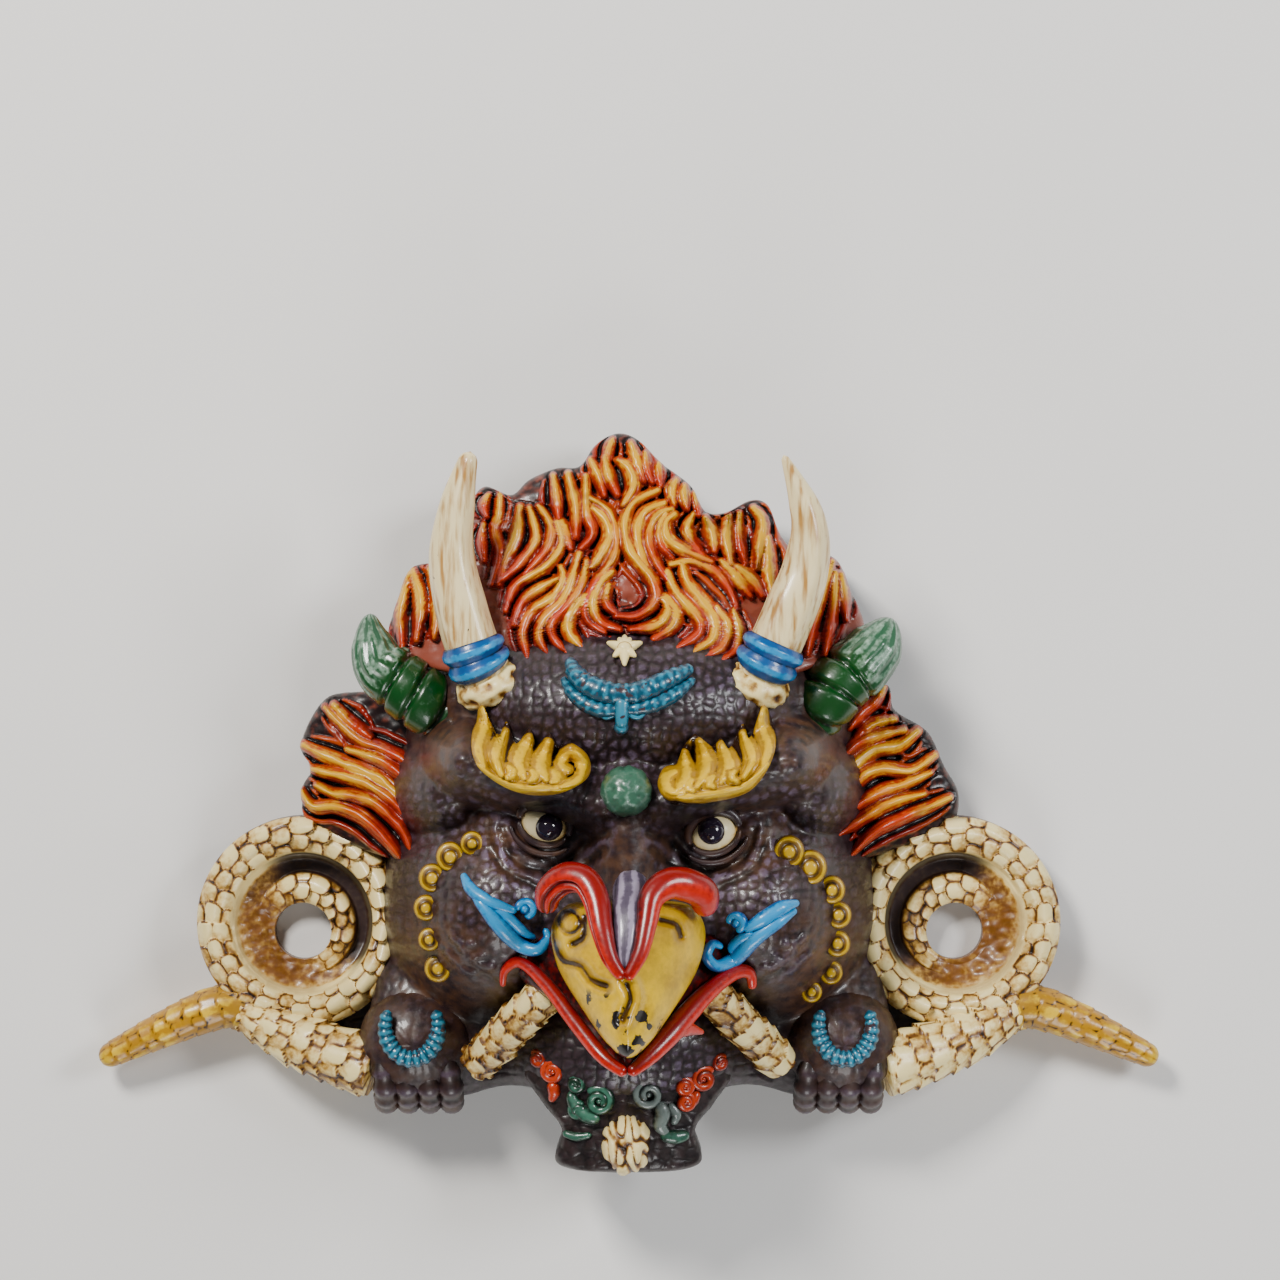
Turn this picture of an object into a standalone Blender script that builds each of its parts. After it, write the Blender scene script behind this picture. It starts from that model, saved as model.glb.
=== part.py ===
"""A painted cham mask of a horned garuda, cast as one piece and lying on its back.

The mask lies in the XY plane: +X is the viewer's right, +Y its flame crown and +Z its beak.
All carving is laid out on a grid that divides the mask's width into 180 units, so it keeps
its proportions when the width changes. Walls and holes have real sizes of their own.
"""

import math

import bmesh
import bpy
from mathutils import Vector

# Real sizes, in metres
WIDTH = 0.180  # from tail tip to tail tip
WALL = 0.0045  # thickness of the casting over the hollow
RIM = 0.006  # width of the flat rim round the hollow's mouth
COIL_HOLE_RADIUS = 0.0048  # hole through each snake coil
COIL_PLATE = 0.0035  # thickness of the plate that carries a coil
CROWN_THICKNESS = 0.009
BEARD_THICKNESS = 0.010

# The carving grid
GRID_WIDTH = 180
UNIT = WIDTH / GRID_WIDTH
BLEND = 1.1  # how softly neighbouring mounds of the face run together
BELOW = 3  # how far forms reach under the rest plane before it trims them
SIDES = (-1, 1)  # left and right of the mask
FACE_EDGE = 3.0  # how far the face drops towards its rim
HOLLOW_EDGE = 5.0  # how far the hollow drops towards its mouth
KEPT_SHARE = 0.55  # share of the joined mesh's faces that the carving needs
CURVE_STEPS = 12  # steps that a smooth path takes between two of its points
HOLLOW_ROOF = 36  # highest face level that the hollow follows
HOLLOW_FEELER = 3  # how far round a place the hollow looks for a lower face
HOLLOW_FEELERS = ((0, 0), (1, 0), (-1, 0), (0, 1), (0, -1))

# Mounds of the face: centre, radii, top height and the drop at one radius
FOREHEAD = (0, 15, 27, 14, 40, 12)
MUZZLE = (0, -20, 14, 12, 42, 9)
JAW = (0, -40, 17, 12, 30, 8)
GROUND = (0, -6, 42, 46, 26, 17)
TEMPLE = (29, 2, 7, 7, 31, 7)
CHEEK = (21, -17, 12, 13, 37, 9)
WRIST = (34, -38, 12, 12, 17, 6)
# Ridges of the face: both ends, radius, top height and the drop at one radius
BROW_RIDGE = ((4, 0), (26, 7), 5, 42, 7)
NOSE_RIDGE = ((0, 2), (0, -14), 7, 41, 9)

EYE = (13.7, -4.6)
EYE_RADIUS = 3.1
SOCKET_DEPTH = 4
FACE_CENTRE = (0, -10)
FACE_HALF_OUTLINE = (
    (0, 29), (16, 28), (28, 23), (36, 14), (40, 0), (41, -14),
    (42, -28), (44, -41), (39, -48.5), (28, -50), (18, -47.5), (0, -50),
)

CROWN_CENTRE = (0, 35)
CROWN_OUTLINE = (
    (0, 20), (-22, 20), (-39, 25), (-38, 35), (-35.3, 39.5), (-31.5, 39.6), (-28.3, 43), (-26.5, 49),
    (-24, 52.3), (-19.5, 50.8), (-16.5, 53.3), (-12, 55.2), (-8.1, 55.5), (-5.5, 59), (-2, 61),
    (1.5, 60), (5.6, 55.9), (10.3, 52.2), (12.6, 48), (16, 47.7), (20.3, 49.8), (23.2, 49),
    (25.3, 44), (28.5, 40.8), (34, 40.5), (36.6, 36), (38.5, 26), (22, 20),
)
TUFT_CENTRE = (42, 3)
LEFT_TUFT = (
    (-30, 3), (-33, 10), (-36, 17), (-46.5, 17.8), (-51.6, 16.2), (-55.3, 9), (-53.4, 5), (-55, 1.6),
    (-54, -4), (-46, -8), (-38, -10), (-31, -8),
)
RIGHT_TUFT = (
    (30, 3), (33, 10), (38, 17), (43.4, 19), (44.6, 14.9), (50.2, 11.2), (53, 5.6), (55.6, 0.4),
    (54, -5), (46, -8), (38, -10), (31, -8),
)
LEFT_TUFT_LOCKS = (
    ((-31.8, -2), (-35, 2.8), (-40, 8), (-45, 10), (-50, 14.6)),
    ((-34, -5.7), (-38.1, 0.6), (-45, 5), (-50, 7.2), (-54.6, 8.6)),
    ((-36, -8.9), (-39.4, -3), (-45, 0.4), (-52.4, 2)),
    ((-37.3, -10.7), (-42.3, -4.7), (-48, -1.3), (-54.4, -0.8)),
)
RIGHT_TUFT_LOCKS = (
    ((36, 10.5), (39.1, 14.7), (42.6, 18.4)),
    ((31.4, -3.7), (34.6, 2.6), (39.2, 7.2), (45, 9), (48, 11)),
    ((34, -4.4), (38.7, 2.8), (44.6, 5), (51, 6.6)),
    ((35, -7), (39.4, -2.6), (44.4, 0.6), (51, 2.4)),
    ((37, -9.6), (41, -5.4), (46.6, -3), (53.6, -1)),
)
BEARD_CENTRE = (0, -50)
BEARD_OUTLINE = (
    (0, -37), (-13, -39), (-17.5, -44), (-14, -50), (-11, -54), (-11.5, -60), (0, -61),
    (11.5, -60), (11, -54), (14, -50), (17.5, -44), (13, -39),
)

COIL_CENTRE = (55, -20.8)
COIL_HOLE = (55.1, -22.6)
COIL_OUTER_RADIUS = 14.6  # centre line of the outer turn
OUTER_TURN = (1.048, 1, 0.986, 0.973, 0.918)  # shares of that radius, along the outer turn
INNER_TURN = (0.918, 0.712, 0.521, 0.493, 0.493, 0.493)  # and along the turn round the hole
COIL_CLEARANCE = 20  # height that the hole cutters reach, well over the coils

HORN_SWELL = (4.4, 4.2, 3.6, 2.9, 1.2)
LEFT_HORN = ((-21.6, 17.6, 28), (-26.2, 28.5, 30.8), (-28.8, 40.5, 31), (-27.6, 49.5, 32), (-25.6, 57.2, 33))
RIGHT_HORN = ((19.8, 17.8, 28), (25, 28.5, 30.8), (28.8, 38.4, 31), (29.2, 46.4, 32), (25.2, 56.6, 33))
EAR = ((29, 13, 19), (33, 16.3, 22), (37.2, 20, 22), (40.8, 23.6, 21), (42.3, 27.5, 20.5), (43.2, 31, 20))

BEAK_CENTRE = (0, -25)
BEAK_HALF_OUTLINE = (
    (0, -13), (6, -12.8), (11, -16), (12.2, -20.5), (10.8, -26), (7, -32), (3, -37), (0, -39),
)
LOWER_BEAK_HALF_OUTLINE = (
    (0, -20), (13, -21), (18.5, -25.5), (17, -29), (13.5, -31), (8, -36.5), (3.5, -40.5), (0, -42.5),
)


def mound(x, y, form, side=1):
    """Height of a round mound of the face at one place."""
    centre_x, centre_y, radius_x, radius_y, top, drop = form
    return top - drop * (((x - side * centre_x) / radius_x) ** 2 + ((y - centre_y) / radius_y) ** 2)


def ridge(x, y, form, side=1):
    """Height of a ridge that runs between two points of the face."""
    (ax, ay), (bx, by), radius, top, drop = form
    ax, bx = side * ax, side * bx
    along = ((x - ax) * (bx - ax) + (y - ay) * (by - ay)) / ((bx - ax) ** 2 + (by - ay) ** 2)
    along = min(1, max(0, along))
    gap = math.hypot(x - ax - along * (bx - ax), y - ay - along * (by - ay))
    return top - drop * (gap / radius) ** 2


def face_height(x, y):
    """Height of the carved face: mounds and ridges melted together, less the eye sockets."""
    heights = [mound(x, y, form) for form in (FOREHEAD, MUZZLE, JAW, GROUND)]
    heights.append(ridge(x, y, NOSE_RIDGE))
    socket = 0
    for side in SIDES:
        heights += [mound(x, y, form, side) for form in (TEMPLE, CHEEK, WRIST)]
        heights.append(ridge(x, y, BROW_RIDGE, side))
        off_x, off_y = (x - side * EYE[0]) / 5, (y - EYE[1]) / 4
        socket += SOCKET_DEPTH * math.exp(-off_x * off_x - off_y * off_y)
    highest = max(heights)
    melted = highest + BLEND * math.log(sum(math.exp((h - highest) / BLEND) for h in heights))
    return melted - socket


def crown_height(x, y):
    """The crown leans back from the forehead to its flame tips, and rounds off sideways."""
    return 30 - 0.42 * (y - 27) - 0.009 * x * x


def tuft_height(x, y):
    """The side hair falls away from the temple."""
    return 17 - 0.38 * (abs(x) - 32) - 0.05 * abs(y)


def beard_height(x, y):
    """The beard stands a little back from the chin."""
    return 26 + 0.15 * (y + 50) - 0.02 * x * x


def beak_height(x, y):
    """The upper beak rises to a middle ridge that dips towards its hooked tip."""
    crest = 51 + 0.42 * (-13 - y) - 0.011 * (y + 13) ** 2
    return crest - 0.55 * abs(x) ** 1.25


def lower_beak_height(x, y):
    """The lower beak's lip climbs from the mouth's corners to its tip."""
    return 49 - 0.95 * abs(x)


def smooth_path(points, count, closed=False):
    """A Catmull-Rom curve through the points, read at evenly spaced steps."""
    points = [Vector(p).to_3d() for p in points]
    spans = len(points) if closed else len(points) - 1
    dense = []
    for i in range(spans):
        if closed:
            a, b, c, d = (points[(i + k) % len(points)] for k in (-1, 0, 1, 2))
        else:
            a, b, c, d = (points[min(max(i + k, 0), spans)] for k in (-1, 0, 1, 2))
        for step in range(CURVE_STEPS):
            t = step / CURVE_STEPS
            dense.append(
                0.5 * (2 * b + (c - a) * t + (2 * a - 5 * b + 4 * c - d) * t**2
                       + (3 * b - a - 3 * c + d) * t**3)
            )
    dense.append(points[0] if closed else points[-1])
    reach = [0]
    for a, b in zip(dense, dense[1:]):
        reach.append(reach[-1] + (b - a).length)
    path, i = [], 0
    for k in range(count):
        want = reach[-1] * k / (count if closed else count - 1)
        while i < len(reach) - 2 and reach[i + 1] < want:
            i += 1
        path.append(dense[i].lerp(dense[i + 1], (want - reach[i]) / (reach[i + 1] - reach[i])))
    return path


def between(values, share):
    """Reads a list of values as a line drawn through them, at a share of its length."""
    place = min(max(share, 0), 1) * (len(values) - 1)
    i = min(int(place), len(values) - 2)
    return values[i] + (values[i + 1] - values[i]) * (place - i)


def on_surface(height, points, lift):
    """Places flat points on a carved surface, lifted a little."""
    return [Vector((x, y, height(x, y) + lift)) for x, y in points]


def circle(centre, radius, count):
    """Evenly spaced points on a circle."""
    turns = [2 * math.pi * k / count for k in range(count)]
    return [(centre[0] + radius * math.cos(turn), centre[1] + radius * math.sin(turn)) for turn in turns]


def mirrored_outline(half):
    """A closed outline from its right half, listed from top to bottom."""
    return [(-x, y) for x, y in half[1:-1]] + list(reversed(half))


class Sculpture:
    """Collects closed forms as hidden meshes, ready for one Boolean each."""

    def __init__(self):
        self.forms = bpy.data.collections.new("forms")
        bpy.context.scene.collection.children.link(self.forms)

    def add(self, name, points, faces, collection=None):
        """A closed mesh from points on the grid, with its faces turned outwards."""
        mesh = bpy.data.meshes.new(name)
        mesh.from_pydata([Vector(p) * UNIT for p in points], [], faces)
        shape = bmesh.new()
        shape.from_mesh(mesh)
        bmesh.ops.triangulate(shape, faces=[f for f in shape.faces if len(f.verts) > 3])
        bmesh.ops.recalc_face_normals(shape, faces=shape.faces)
        shape.to_mesh(mesh)
        shape.free()
        made = bpy.data.objects.new(name, mesh)
        made.hide_render = True
        made.display_type = "WIRE"
        (collection or self.forms).objects.link(made)
        return made

    def relief(self, name, centre, outline, height, base, spokes, rings, edge=0.0, collection=None):
        """A slab over a star-shaped outline, with a carved top and a flat underside."""
        rim = smooth_path(outline, spokes, closed=True)
        middle = Vector(centre).to_3d()
        points = [Vector((middle.x, middle.y, height(middle.x, middle.y)))]
        for ring in range(1, rings + 1):
            share = ring / rings
            for p in rim:
                q = middle.lerp(p, share)
                points.append(Vector((q.x, q.y, height(q.x, q.y) - edge * share**6)))
        foot = len(points)
        points += [Vector((p.x, p.y, base(p.x, p.y))) for p in rim]
        points.append(Vector((middle.x, middle.y, base(middle.x, middle.y))))
        faces = []
        for k in range(spokes):
            n = (k + 1) % spokes
            faces.append((0, 1 + k, 1 + n))
            for ring in range(rings - 1):
                low, high = 1 + ring * spokes, 1 + (ring + 1) * spokes
                faces.append((low + k, high + k, high + n, low + n))
            last = 1 + (rings - 1) * spokes
            faces.append((last + k, foot + k, foot + n, last + n))
            faces.append((foot + k, foot + spokes, foot + n))
        return self.add(name, points, faces, collection)

    def sweep(self, name, path, radii, sides=8, height=1.0):
        """A round or flattened rod along a path, tapering through the radii, with capped ends."""
        points, last = [], len(path) - 1
        across = (path[1] - path[0]).cross(Vector((0, 0, 1)))
        for i, centre in enumerate(path):
            along = (path[min(i + 1, last)] - path[max(i - 1, 0)]).normalized()
            across = (across - along * across.dot(along)).normalized()
            up = across.cross(along)
            radius = between(radii, i / last)
            for k in range(sides):
                turn = 2 * math.pi * k / sides
                points.append(centre + radius * (math.cos(turn) * across + height * math.sin(turn) * up))
        faces = [tuple(range(sides)), tuple(range(last * sides, (last + 1) * sides))]
        for i in range(last):
            for k in range(sides):
                n = (k + 1) % sides
                faces.append((i * sides + k, i * sides + n, (i + 1) * sides + n, (i + 1) * sides + k))
        return self.add(name, points, faces)

    def blob(self, name, centre, radii, turns=8, rows=5):
        """An ellipsoid."""
        points = [Vector(centre) + Vector((0, 0, radii[2]))]
        for row in range(1, rows):
            tilt = math.pi * row / rows
            for k in range(turns):
                turn = 2 * math.pi * (k + 0.5 * (row % 2)) / turns
                points.append(Vector(centre) + Vector((
                    radii[0] * math.sin(tilt) * math.cos(turn),
                    radii[1] * math.sin(tilt) * math.sin(turn),
                    radii[2] * math.cos(tilt),
                )))
        foot = len(points)
        points.append(Vector(centre) - Vector((0, 0, radii[2])))
        faces = []
        for k in range(turns):
            n = (k + 1) % turns
            faces.append((0, 1 + k, 1 + n))
            faces.append((foot, foot - turns + n, foot - turns + k))
            for row in range(rows - 2):
                low, high = 1 + row * turns, 1 + (row + 1) * turns
                if row % 2:
                    faces += [(low + k, high + k, high + n), (low + k, high + n, low + n)]
                else:
                    faces += [(low + k, high + k, low + n), (low + n, high + k, high + n)]
        return self.add(name, points, faces)

    def prism(self, name, corners, low, high, collection=None):
        """A straight-sided block over a flat outline."""
        count = len(corners)
        points = [(x, y, z) for z in (low, high) for x, y in corners]
        faces = [tuple(range(count)), tuple(range(count, 2 * count))]
        faces += [(k, (k + 1) % count, count + (k + 1) % count, count + k) for k in range(count)]
        return self.add(name, points, faces, collection)


def carve_face(clay):
    """Jewel, moon, brows, eyes, cheek curls and bead strings."""
    clay.blob("brow_jewel", (0, 2.4, 42), (4.2, 4.2, 4.4), 9, 5)
    moon = ((-10.2, 24), (-8, 20.3), (-4.5, 18.3), (0, 17.6), (4.5, 18.3), (8, 20.3), (10.2, 24))
    clay.sweep("moon", smooth_path(on_surface(face_height, moon, 0.3), 9), (0.6, 1.5, 1.9, 1.5, 0.6), 5)
    clay.blob("moon_pendant", (0, 14.6, face_height(0, 14.6)), (1.3, 2.2, 1.2), 6, 4)
    clay.blob("sun_flame", (-0.3, 25, face_height(-0.3, 25) + 0.6), (3.2, 2.6, 2.2), 7, 4)
    eyebrow = ((23.4, 15.4), (23, 9.6), (20, 5.6), (14, 3.8), (8, 3.8))
    curls = ((21.2, 10.6), (17.8, 8.2), (14, 7), (10, 6))
    for side in SIDES:
        path = on_surface(face_height, [(side * x, y) for x, y in eyebrow], 0.4)
        clay.sweep("eyebrow", smooth_path(path, 7), (0.7, 2.2, 2.9, 2.8, 2.3), 5)
        for x, y in curls:
            clay.blob("eyebrow_curl", (side * x, y, face_height(side * x, y) + 1.8), (2, 3.3, 2.6), 6, 4)
        clay.blob("eyeball", (side * EYE[0], EYE[1], 33.6), (EYE_RADIUS, EYE_RADIUS, EYE_RADIUS), 9, 5)
        lids = [
            (side * EYE[0] + 4.3 * math.cos(turn), EYE[1] + 3.5 * math.sin(turn), 34.6)
            for turn in (math.radians(30 * k) for k in range(-1, 8))
        ]
        clay.sweep("upper_lid", smooth_path(lids, 7), (0.7, 1.3, 0.7), 4)
        cheek_curl = ((26.4, -14), (22, -17), (18, -21.4), (14.6, -23.9), (12.8, -22.6))
        path = on_surface(face_height, [(side * x, y) for x, y in cheek_curl], 0.7)
        clay.sweep("cheek_curl", smooth_path(path, 7), (0.7, 1.4, 1.4, 1.5, 1.0), 5)
        knob = (side * 17, -18.4, face_height(side * 17, -18.4) + 0.8)
        clay.blob("cheek_curl_knob", knob, (1.5, 1.5, 1.3), 6, 3)
        string = ((25.7, -7.2), (30, -9.8), (33.4, -14.2), (34, -19.5), (33.4, -25), (31.5, -30))
        for bead in smooth_path(string, 7):
            x, y = side * bead.x, bead.y
            clay.blob("bead", (x, y, face_height(x, y) + 0.3), (1.8, 1.8, 1.5), 6, 3)


def carve_beak(clay):
    """The hooked upper beak, the lip of the lower one, and the nostril curls with their bridge."""
    clay.relief("upper_beak", BEAK_CENTRE, mirrored_outline(BEAK_HALF_OUTLINE), beak_height,
                lambda x, y: 34, 20, 3, edge=4.0)
    clay.relief("lower_beak", (0, -29), mirrored_outline(LOWER_BEAK_HALF_OUTLINE), lower_beak_height,
                lambda x, y: 22, 18, 2, edge=1.5)
    clay.sweep("bridge", smooth_path(((0, -7, 40), (0, -13, 48.5), (0, -22, 53.5)), 5), (2.6, 2.4, 1.2), 6)
    nostril = (
        (12.2, -16, 43), (11.6, -13.2, 45.5), (8.4, -11.4, 47.2),
        (5.2, -13, 49), (3.2, -19, 52.6), (0.4, -25.8, 55.4),
    )
    for side in SIDES:
        path = [(side * x, y, z) for x, y, z in nostril]
        clay.sweep("nostril_curl", smooth_path(path, 8), (1.5, 2.0, 2.0, 1.9, 1.6, 1.0), 5)
        lip = ((19.8, -29.5, 31), (18.2, -26.2, 33), (15.5, -27.8, 35), (11, -31.8, 40), (0.6, -42, 48.6))
        clay.sweep("lip", smooth_path([(side * x, y, z) for x, y, z in lip], 8), (0.8, 1.3, 1.4, 1.4, 1.2), 5)


def carve_beard(clay):
    """The beard slab with its curls and the shell jewel at the tip."""
    back = -BEARD_THICKNESS / UNIT
    clay.relief("beard", BEARD_CENTRE, BEARD_OUTLINE, beard_height,
                lambda x, y: beard_height(x, y) + back, 22, 2, edge=1.5)
    clay.blob("shell_jewel", (0, -56.3, 26), (4.2, 4.7, 4.6), 9, 5)
    curls = ((5, -48.8, 2.2), (7.6, -53.6, 1.8), (11.2, -45.8, 1.7), (14.2, -43.9, 1.3))
    for side in SIDES:
        for centre_x, centre_y, radius in curls:
            curl = []
            for turn in (math.radians(45 * k) for k in range(7)):
                x = side * (centre_x + radius * math.cos(turn))
                y = centre_y + radius * math.sin(turn)
                curl.append((x, y, beard_height(x, y) + 0.4))
            clay.sweep("beard_curl", smooth_path(curl, 7), (1.0, 1.0, 0.6), 4)


def carve_crown(clay):
    """The flame crown: a leaning slab with rows of flowing locks."""
    back = CROWN_THICKNESS / UNIT
    clay.relief("crown", CROWN_CENTRE, CROWN_OUTLINE, crown_height,
                lambda x, y: crown_height(x, y) - back, 60, 2, edge=2.0)
    locks = (
        ((0.3, 29.4), (4.4, 31.4), (3.4, 37), (1.1, 43), (2.6, 49), (6.2, 50.8)),
        ((9, 28.2), (8.2, 33.5), (4.6, 39.5), (4.4, 45.5), (7.6, 48.6)),
        ((12.5, 29.4), (11, 35), (8.2, 40), (8, 45), (10.6, 47)),
        ((17.5, 24.4), (19.4, 29), (16.4, 33.2), (11.8, 36.5)),
        ((14.4, 25), (15.8, 29), (12.8, 32.4)),
        ((21.6, 33), (16.6, 38), (13.6, 42.5), (14.6, 47)),
        ((23.4, 36.6), (19.6, 40.4), (17.6, 44), (18.6, 48)),
        ((25, 39.6), (22.4, 43), (21.6, 48.2)),
        ((11.2, 43.5), (12, 47.6), (14.2, 50.5)),
        ((5.6, 50.6), (6.8, 54), (7, 56)),
        ((2.6, 49.8), (3.6, 54.4), (3.4, 58.2)),
        ((0.4, 50), (0.2, 55), (-1.2, 59.4)),
        ((33, 26), (34, 32.5), (35, 38)),
        ((36.6, 26), (37, 31), (36.8, 35)),
    )
    for lock in locks:
        for side in SIDES:
            flat = [(side * x, y) for x, y in lock]
            path = smooth_path(on_surface(crown_height, flat, 0.0), 7)
            clay.sweep("crown_lock", path, (0.9, 1.4, 1.5, 1.3, 0.7), 4, height=1.5)


def carve_side_hair(clay):
    """Wavy locks that fan out from each temple."""
    left, right = (LEFT_TUFT, LEFT_TUFT_LOCKS), (RIGHT_TUFT, RIGHT_TUFT_LOCKS)
    for side, (outline, locks) in zip(SIDES, (left, right)):
        centre = (side * TUFT_CENTRE[0], TUFT_CENTRE[1])
        clay.relief("side_hair", centre, outline, tuft_height, lambda x, y: -BELOW, 22, 2, edge=3.0)
        for lock in locks:
            path = smooth_path(on_surface(tuft_height, lock, -0.2), 7)
            clay.sweep("side_lock", path, (0.8, 1.7, 1.9, 1.7, 1.0), 4, height=1.3)


def carve_horns(clay):
    """Two ivory horns with banded roots, and two ringed green ears."""
    for horn in (LEFT_HORN, RIGHT_HORN):
        path = smooth_path(horn, 7)
        clay.sweep("horn", path, HORN_SWELL, 7)
        root, along = path[0], (path[1] - path[0]).normalized()
        for start, length, radius in ((-1.5, 3.2, 5.2), (2.2, 1.9, 4.9), (4.3, 1.9, 4.8)):
            band = [root + along * (start + length * k / 2) for k in range(3)]
            clay.sweep("horn_band", band, (0.84 * radius, radius, 0.84 * radius), 8)
    for side in SIDES:
        path = smooth_path([(side * x, y, z) for x, y, z in EAR], 11)
        ringed = [4.2, 5.3, 4.5, 5.3, 4.5, 5.1, 4.5, 4.0, 3.4, 2.5, 0.9]
        clay.sweep("ear", path, ringed, 7)


def coil_turn(side, first, last, reaches, heights, count):
    """Part of a snake's spiral about the coil's centre, angles measured outwards from the face.
    Its reaches are shares of the outer turn's radius."""
    path = []
    for k in range(count):
        share = k / (count - 1)
        turn = math.radians(first + (last - first) * share)
        radius = COIL_OUTER_RADIUS * between(reaches, share)
        x = side * (COIL_CENTRE[0] - radius * math.cos(turn))
        path.append(Vector((x, COIL_CENTRE[1] + radius * math.sin(turn), between(heights, share))))
    return path


def carve_snakes(clay):
    """A coiled snake at each ear: plate, two turns, tail, and the body that the hand grips."""
    plate = COIL_PLATE / UNIT
    for side in SIDES:
        centre = (side * COIL_CENTRE[0], COIL_CENTRE[1])
        clay.prism("coil_plate", circle(centre, COIL_OUTER_RADIUS + 1, 20), -BELOW, plate)
        web = ((40, -30), (62, -30), (62, -38), (52, -42), (40, -42))
        clay.prism("web", [(side * x, y) for x, y in web], -BELOW, plate)
        outer = coil_turn(side, -48, 300, OUTER_TURN, (8.5, 7, 6.2, 6.2, 6.4), 20)
        clay.sweep("outer_turn", outer, (4.2, 3.7, 3.4, 3.4, 3.6), 6, height=1.1)
        inner = coil_turn(side, 292, 640, INNER_TURN, (6.3, 6, 4.4, 4, 4, 4), 15)
        clay.sweep("inner_turn", inner, (3.5, 3.0, 2.4, 2.3, 2.3, 2.0), 5)
        tail = ((58, -37, 5), (68.5, -35.2, 6), (77, -38.4, 6), (89.2, -44.3, 5.2))
        clay.sweep("tail", smooth_path([(side * x, y, z) for x, y, z in tail], 9),
                   (3.4, 3.8, 3.6, 3.0, 2.4, 1.7), 6)
        body = ((67, -34.4, 6), (60.5, -38.2, 8), (51.5, -41.8, 10.5), (42.5, -44.8, 12.5))
        clay.sweep("gripped_body", smooth_path([(side * x, y, z) for x, y, z in body], 6),
                   (3.0, 4.3, 5.2, 5.4), 7)
        stub = ((25.4, -43.9, 18), (21.5, -39.6, 22), (17.5, -35.2, 27), (13, -30.5, 31))
        clay.sweep("bitten_body", smooth_path([(side * x, y, z) for x, y, z in stub], 6),
                   (3.5, 3.6, 3.5, 3.2), 7)


def carve_hands(clay):
    """A hand on each snake, with a bead bracelet on its back and four curled fingers."""
    for side in SIDES:
        clay.blob("hand", (side * 35.6, -40.5, 12), (9.4, 9, 8.8), 10, 5)
        bracelet = [
            (side * 35.8 + 4.3 * math.cos(turn), -37 + 5.2 * math.sin(turn), 20.2)
            for turn in (math.radians(180 + 30 * k) for k in range(-1, 8))
        ]
        clay.sweep("bracelet", smooth_path(bracelet, 8), (0.8, 1.3, 1.3, 1.3, 0.8), 5)
        for k in range(4):
            x = 29.6 + 3.6 * k
            finger = ((x + 0.6, -43.5, 16.5), (x, -48.3, 15.2), (x, -51.2, 10.5), (x, -50.6, 6))
            path = smooth_path([(side * px, y, z) for px, y, z in finger], 5)
            clay.sweep("finger", path, (1.7, 2.0, 1.9, 1.6), 5)


def paint():
    """The dark ground colour that the whole casting carries under its bright paints."""
    material = bpy.data.materials.new("painted_casting")
    material.use_nodes = True
    shader = material.node_tree.nodes["Principled BSDF"]
    shader.inputs["Base Color"].default_value = (0.055, 0.032, 0.034, 1)
    shader.inputs["Roughness"].default_value = 0.42
    shader.inputs["Metallic"].default_value = 0.0
    return material


def boolean(target, operation, operand):
    """One exact Boolean on the mask, with an object or a whole collection."""
    modifier = target.modifiers.new(operation.lower(), "BOOLEAN")
    modifier.operation = operation
    modifier.solver = "EXACT"
    if isinstance(operand, bpy.types.Collection):
        modifier.operand_type = "COLLECTION"
        modifier.collection = operand
    else:
        modifier.object = operand


def build_mask():
    """Joins every form into one casting, then opens its back and the two coil holes."""
    clay = Sculpture()
    scene = bpy.context.scene.collection
    outline = mirrored_outline(FACE_HALF_OUTLINE)
    mask = clay.relief("mask", FACE_CENTRE, outline, face_height, lambda x, y: -BELOW, 40, 9,
                       edge=FACE_EDGE, collection=scene)
    mask.hide_render = False
    mask.display_type = "TEXTURED"
    mask.data.materials.append(paint())
    for carve in (carve_face, carve_beak, carve_beard, carve_crown, carve_side_hair,
                  carve_horns, carve_snakes, carve_hands):
        carve(clay)
    boolean(mask, "UNION", clay.forms)

    wall, rim = WALL / UNIT, RIM / UNIT
    cutters = bpy.data.collections.new("cutters")
    scene.children.link(cutters)
    middle = Vector(FACE_CENTRE)
    inset = []
    for point in outline:
        spoke = Vector(point) - middle
        inset.append(middle + spoke * (1 - rim / spoke.length))

    def hollow_height(x, y):
        lowest = min(face_height(x + HOLLOW_FEELER * u, y + HOLLOW_FEELER * v) for u, v in HOLLOW_FEELERS)
        return min(lowest, HOLLOW_ROOF) - wall

    clay.relief("hollow", FACE_CENTRE, inset, hollow_height, lambda x, y: -2 * BELOW, 28, 5,
                edge=HOLLOW_EDGE, collection=cutters)
    for side in SIDES:
        hole = circle((side * COIL_HOLE[0], COIL_HOLE[1]), COIL_HOLE_RADIUS / UNIT, 16)
        clay.prism("coil_hole", hole, -3 * BELOW, COIL_CLEARANCE, cutters)
    boolean(mask, "DIFFERENCE", cutters)
    reach = GRID_WIDTH
    corners = ((-reach, -reach), (reach, -reach), (reach, reach), (-reach, reach))
    under = clay.prism("under_rest_plane", corners, -4 * BELOW, 0, scene)
    boolean(mask, "DIFFERENCE", under)
    thin = mask.modifiers.new("thin_out", "DECIMATE")
    thin.ratio = KEPT_SHARE
    return mask


def main():
    for old in list(bpy.data.objects):
        bpy.data.objects.remove(old)
    build_mask()


main()
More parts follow.
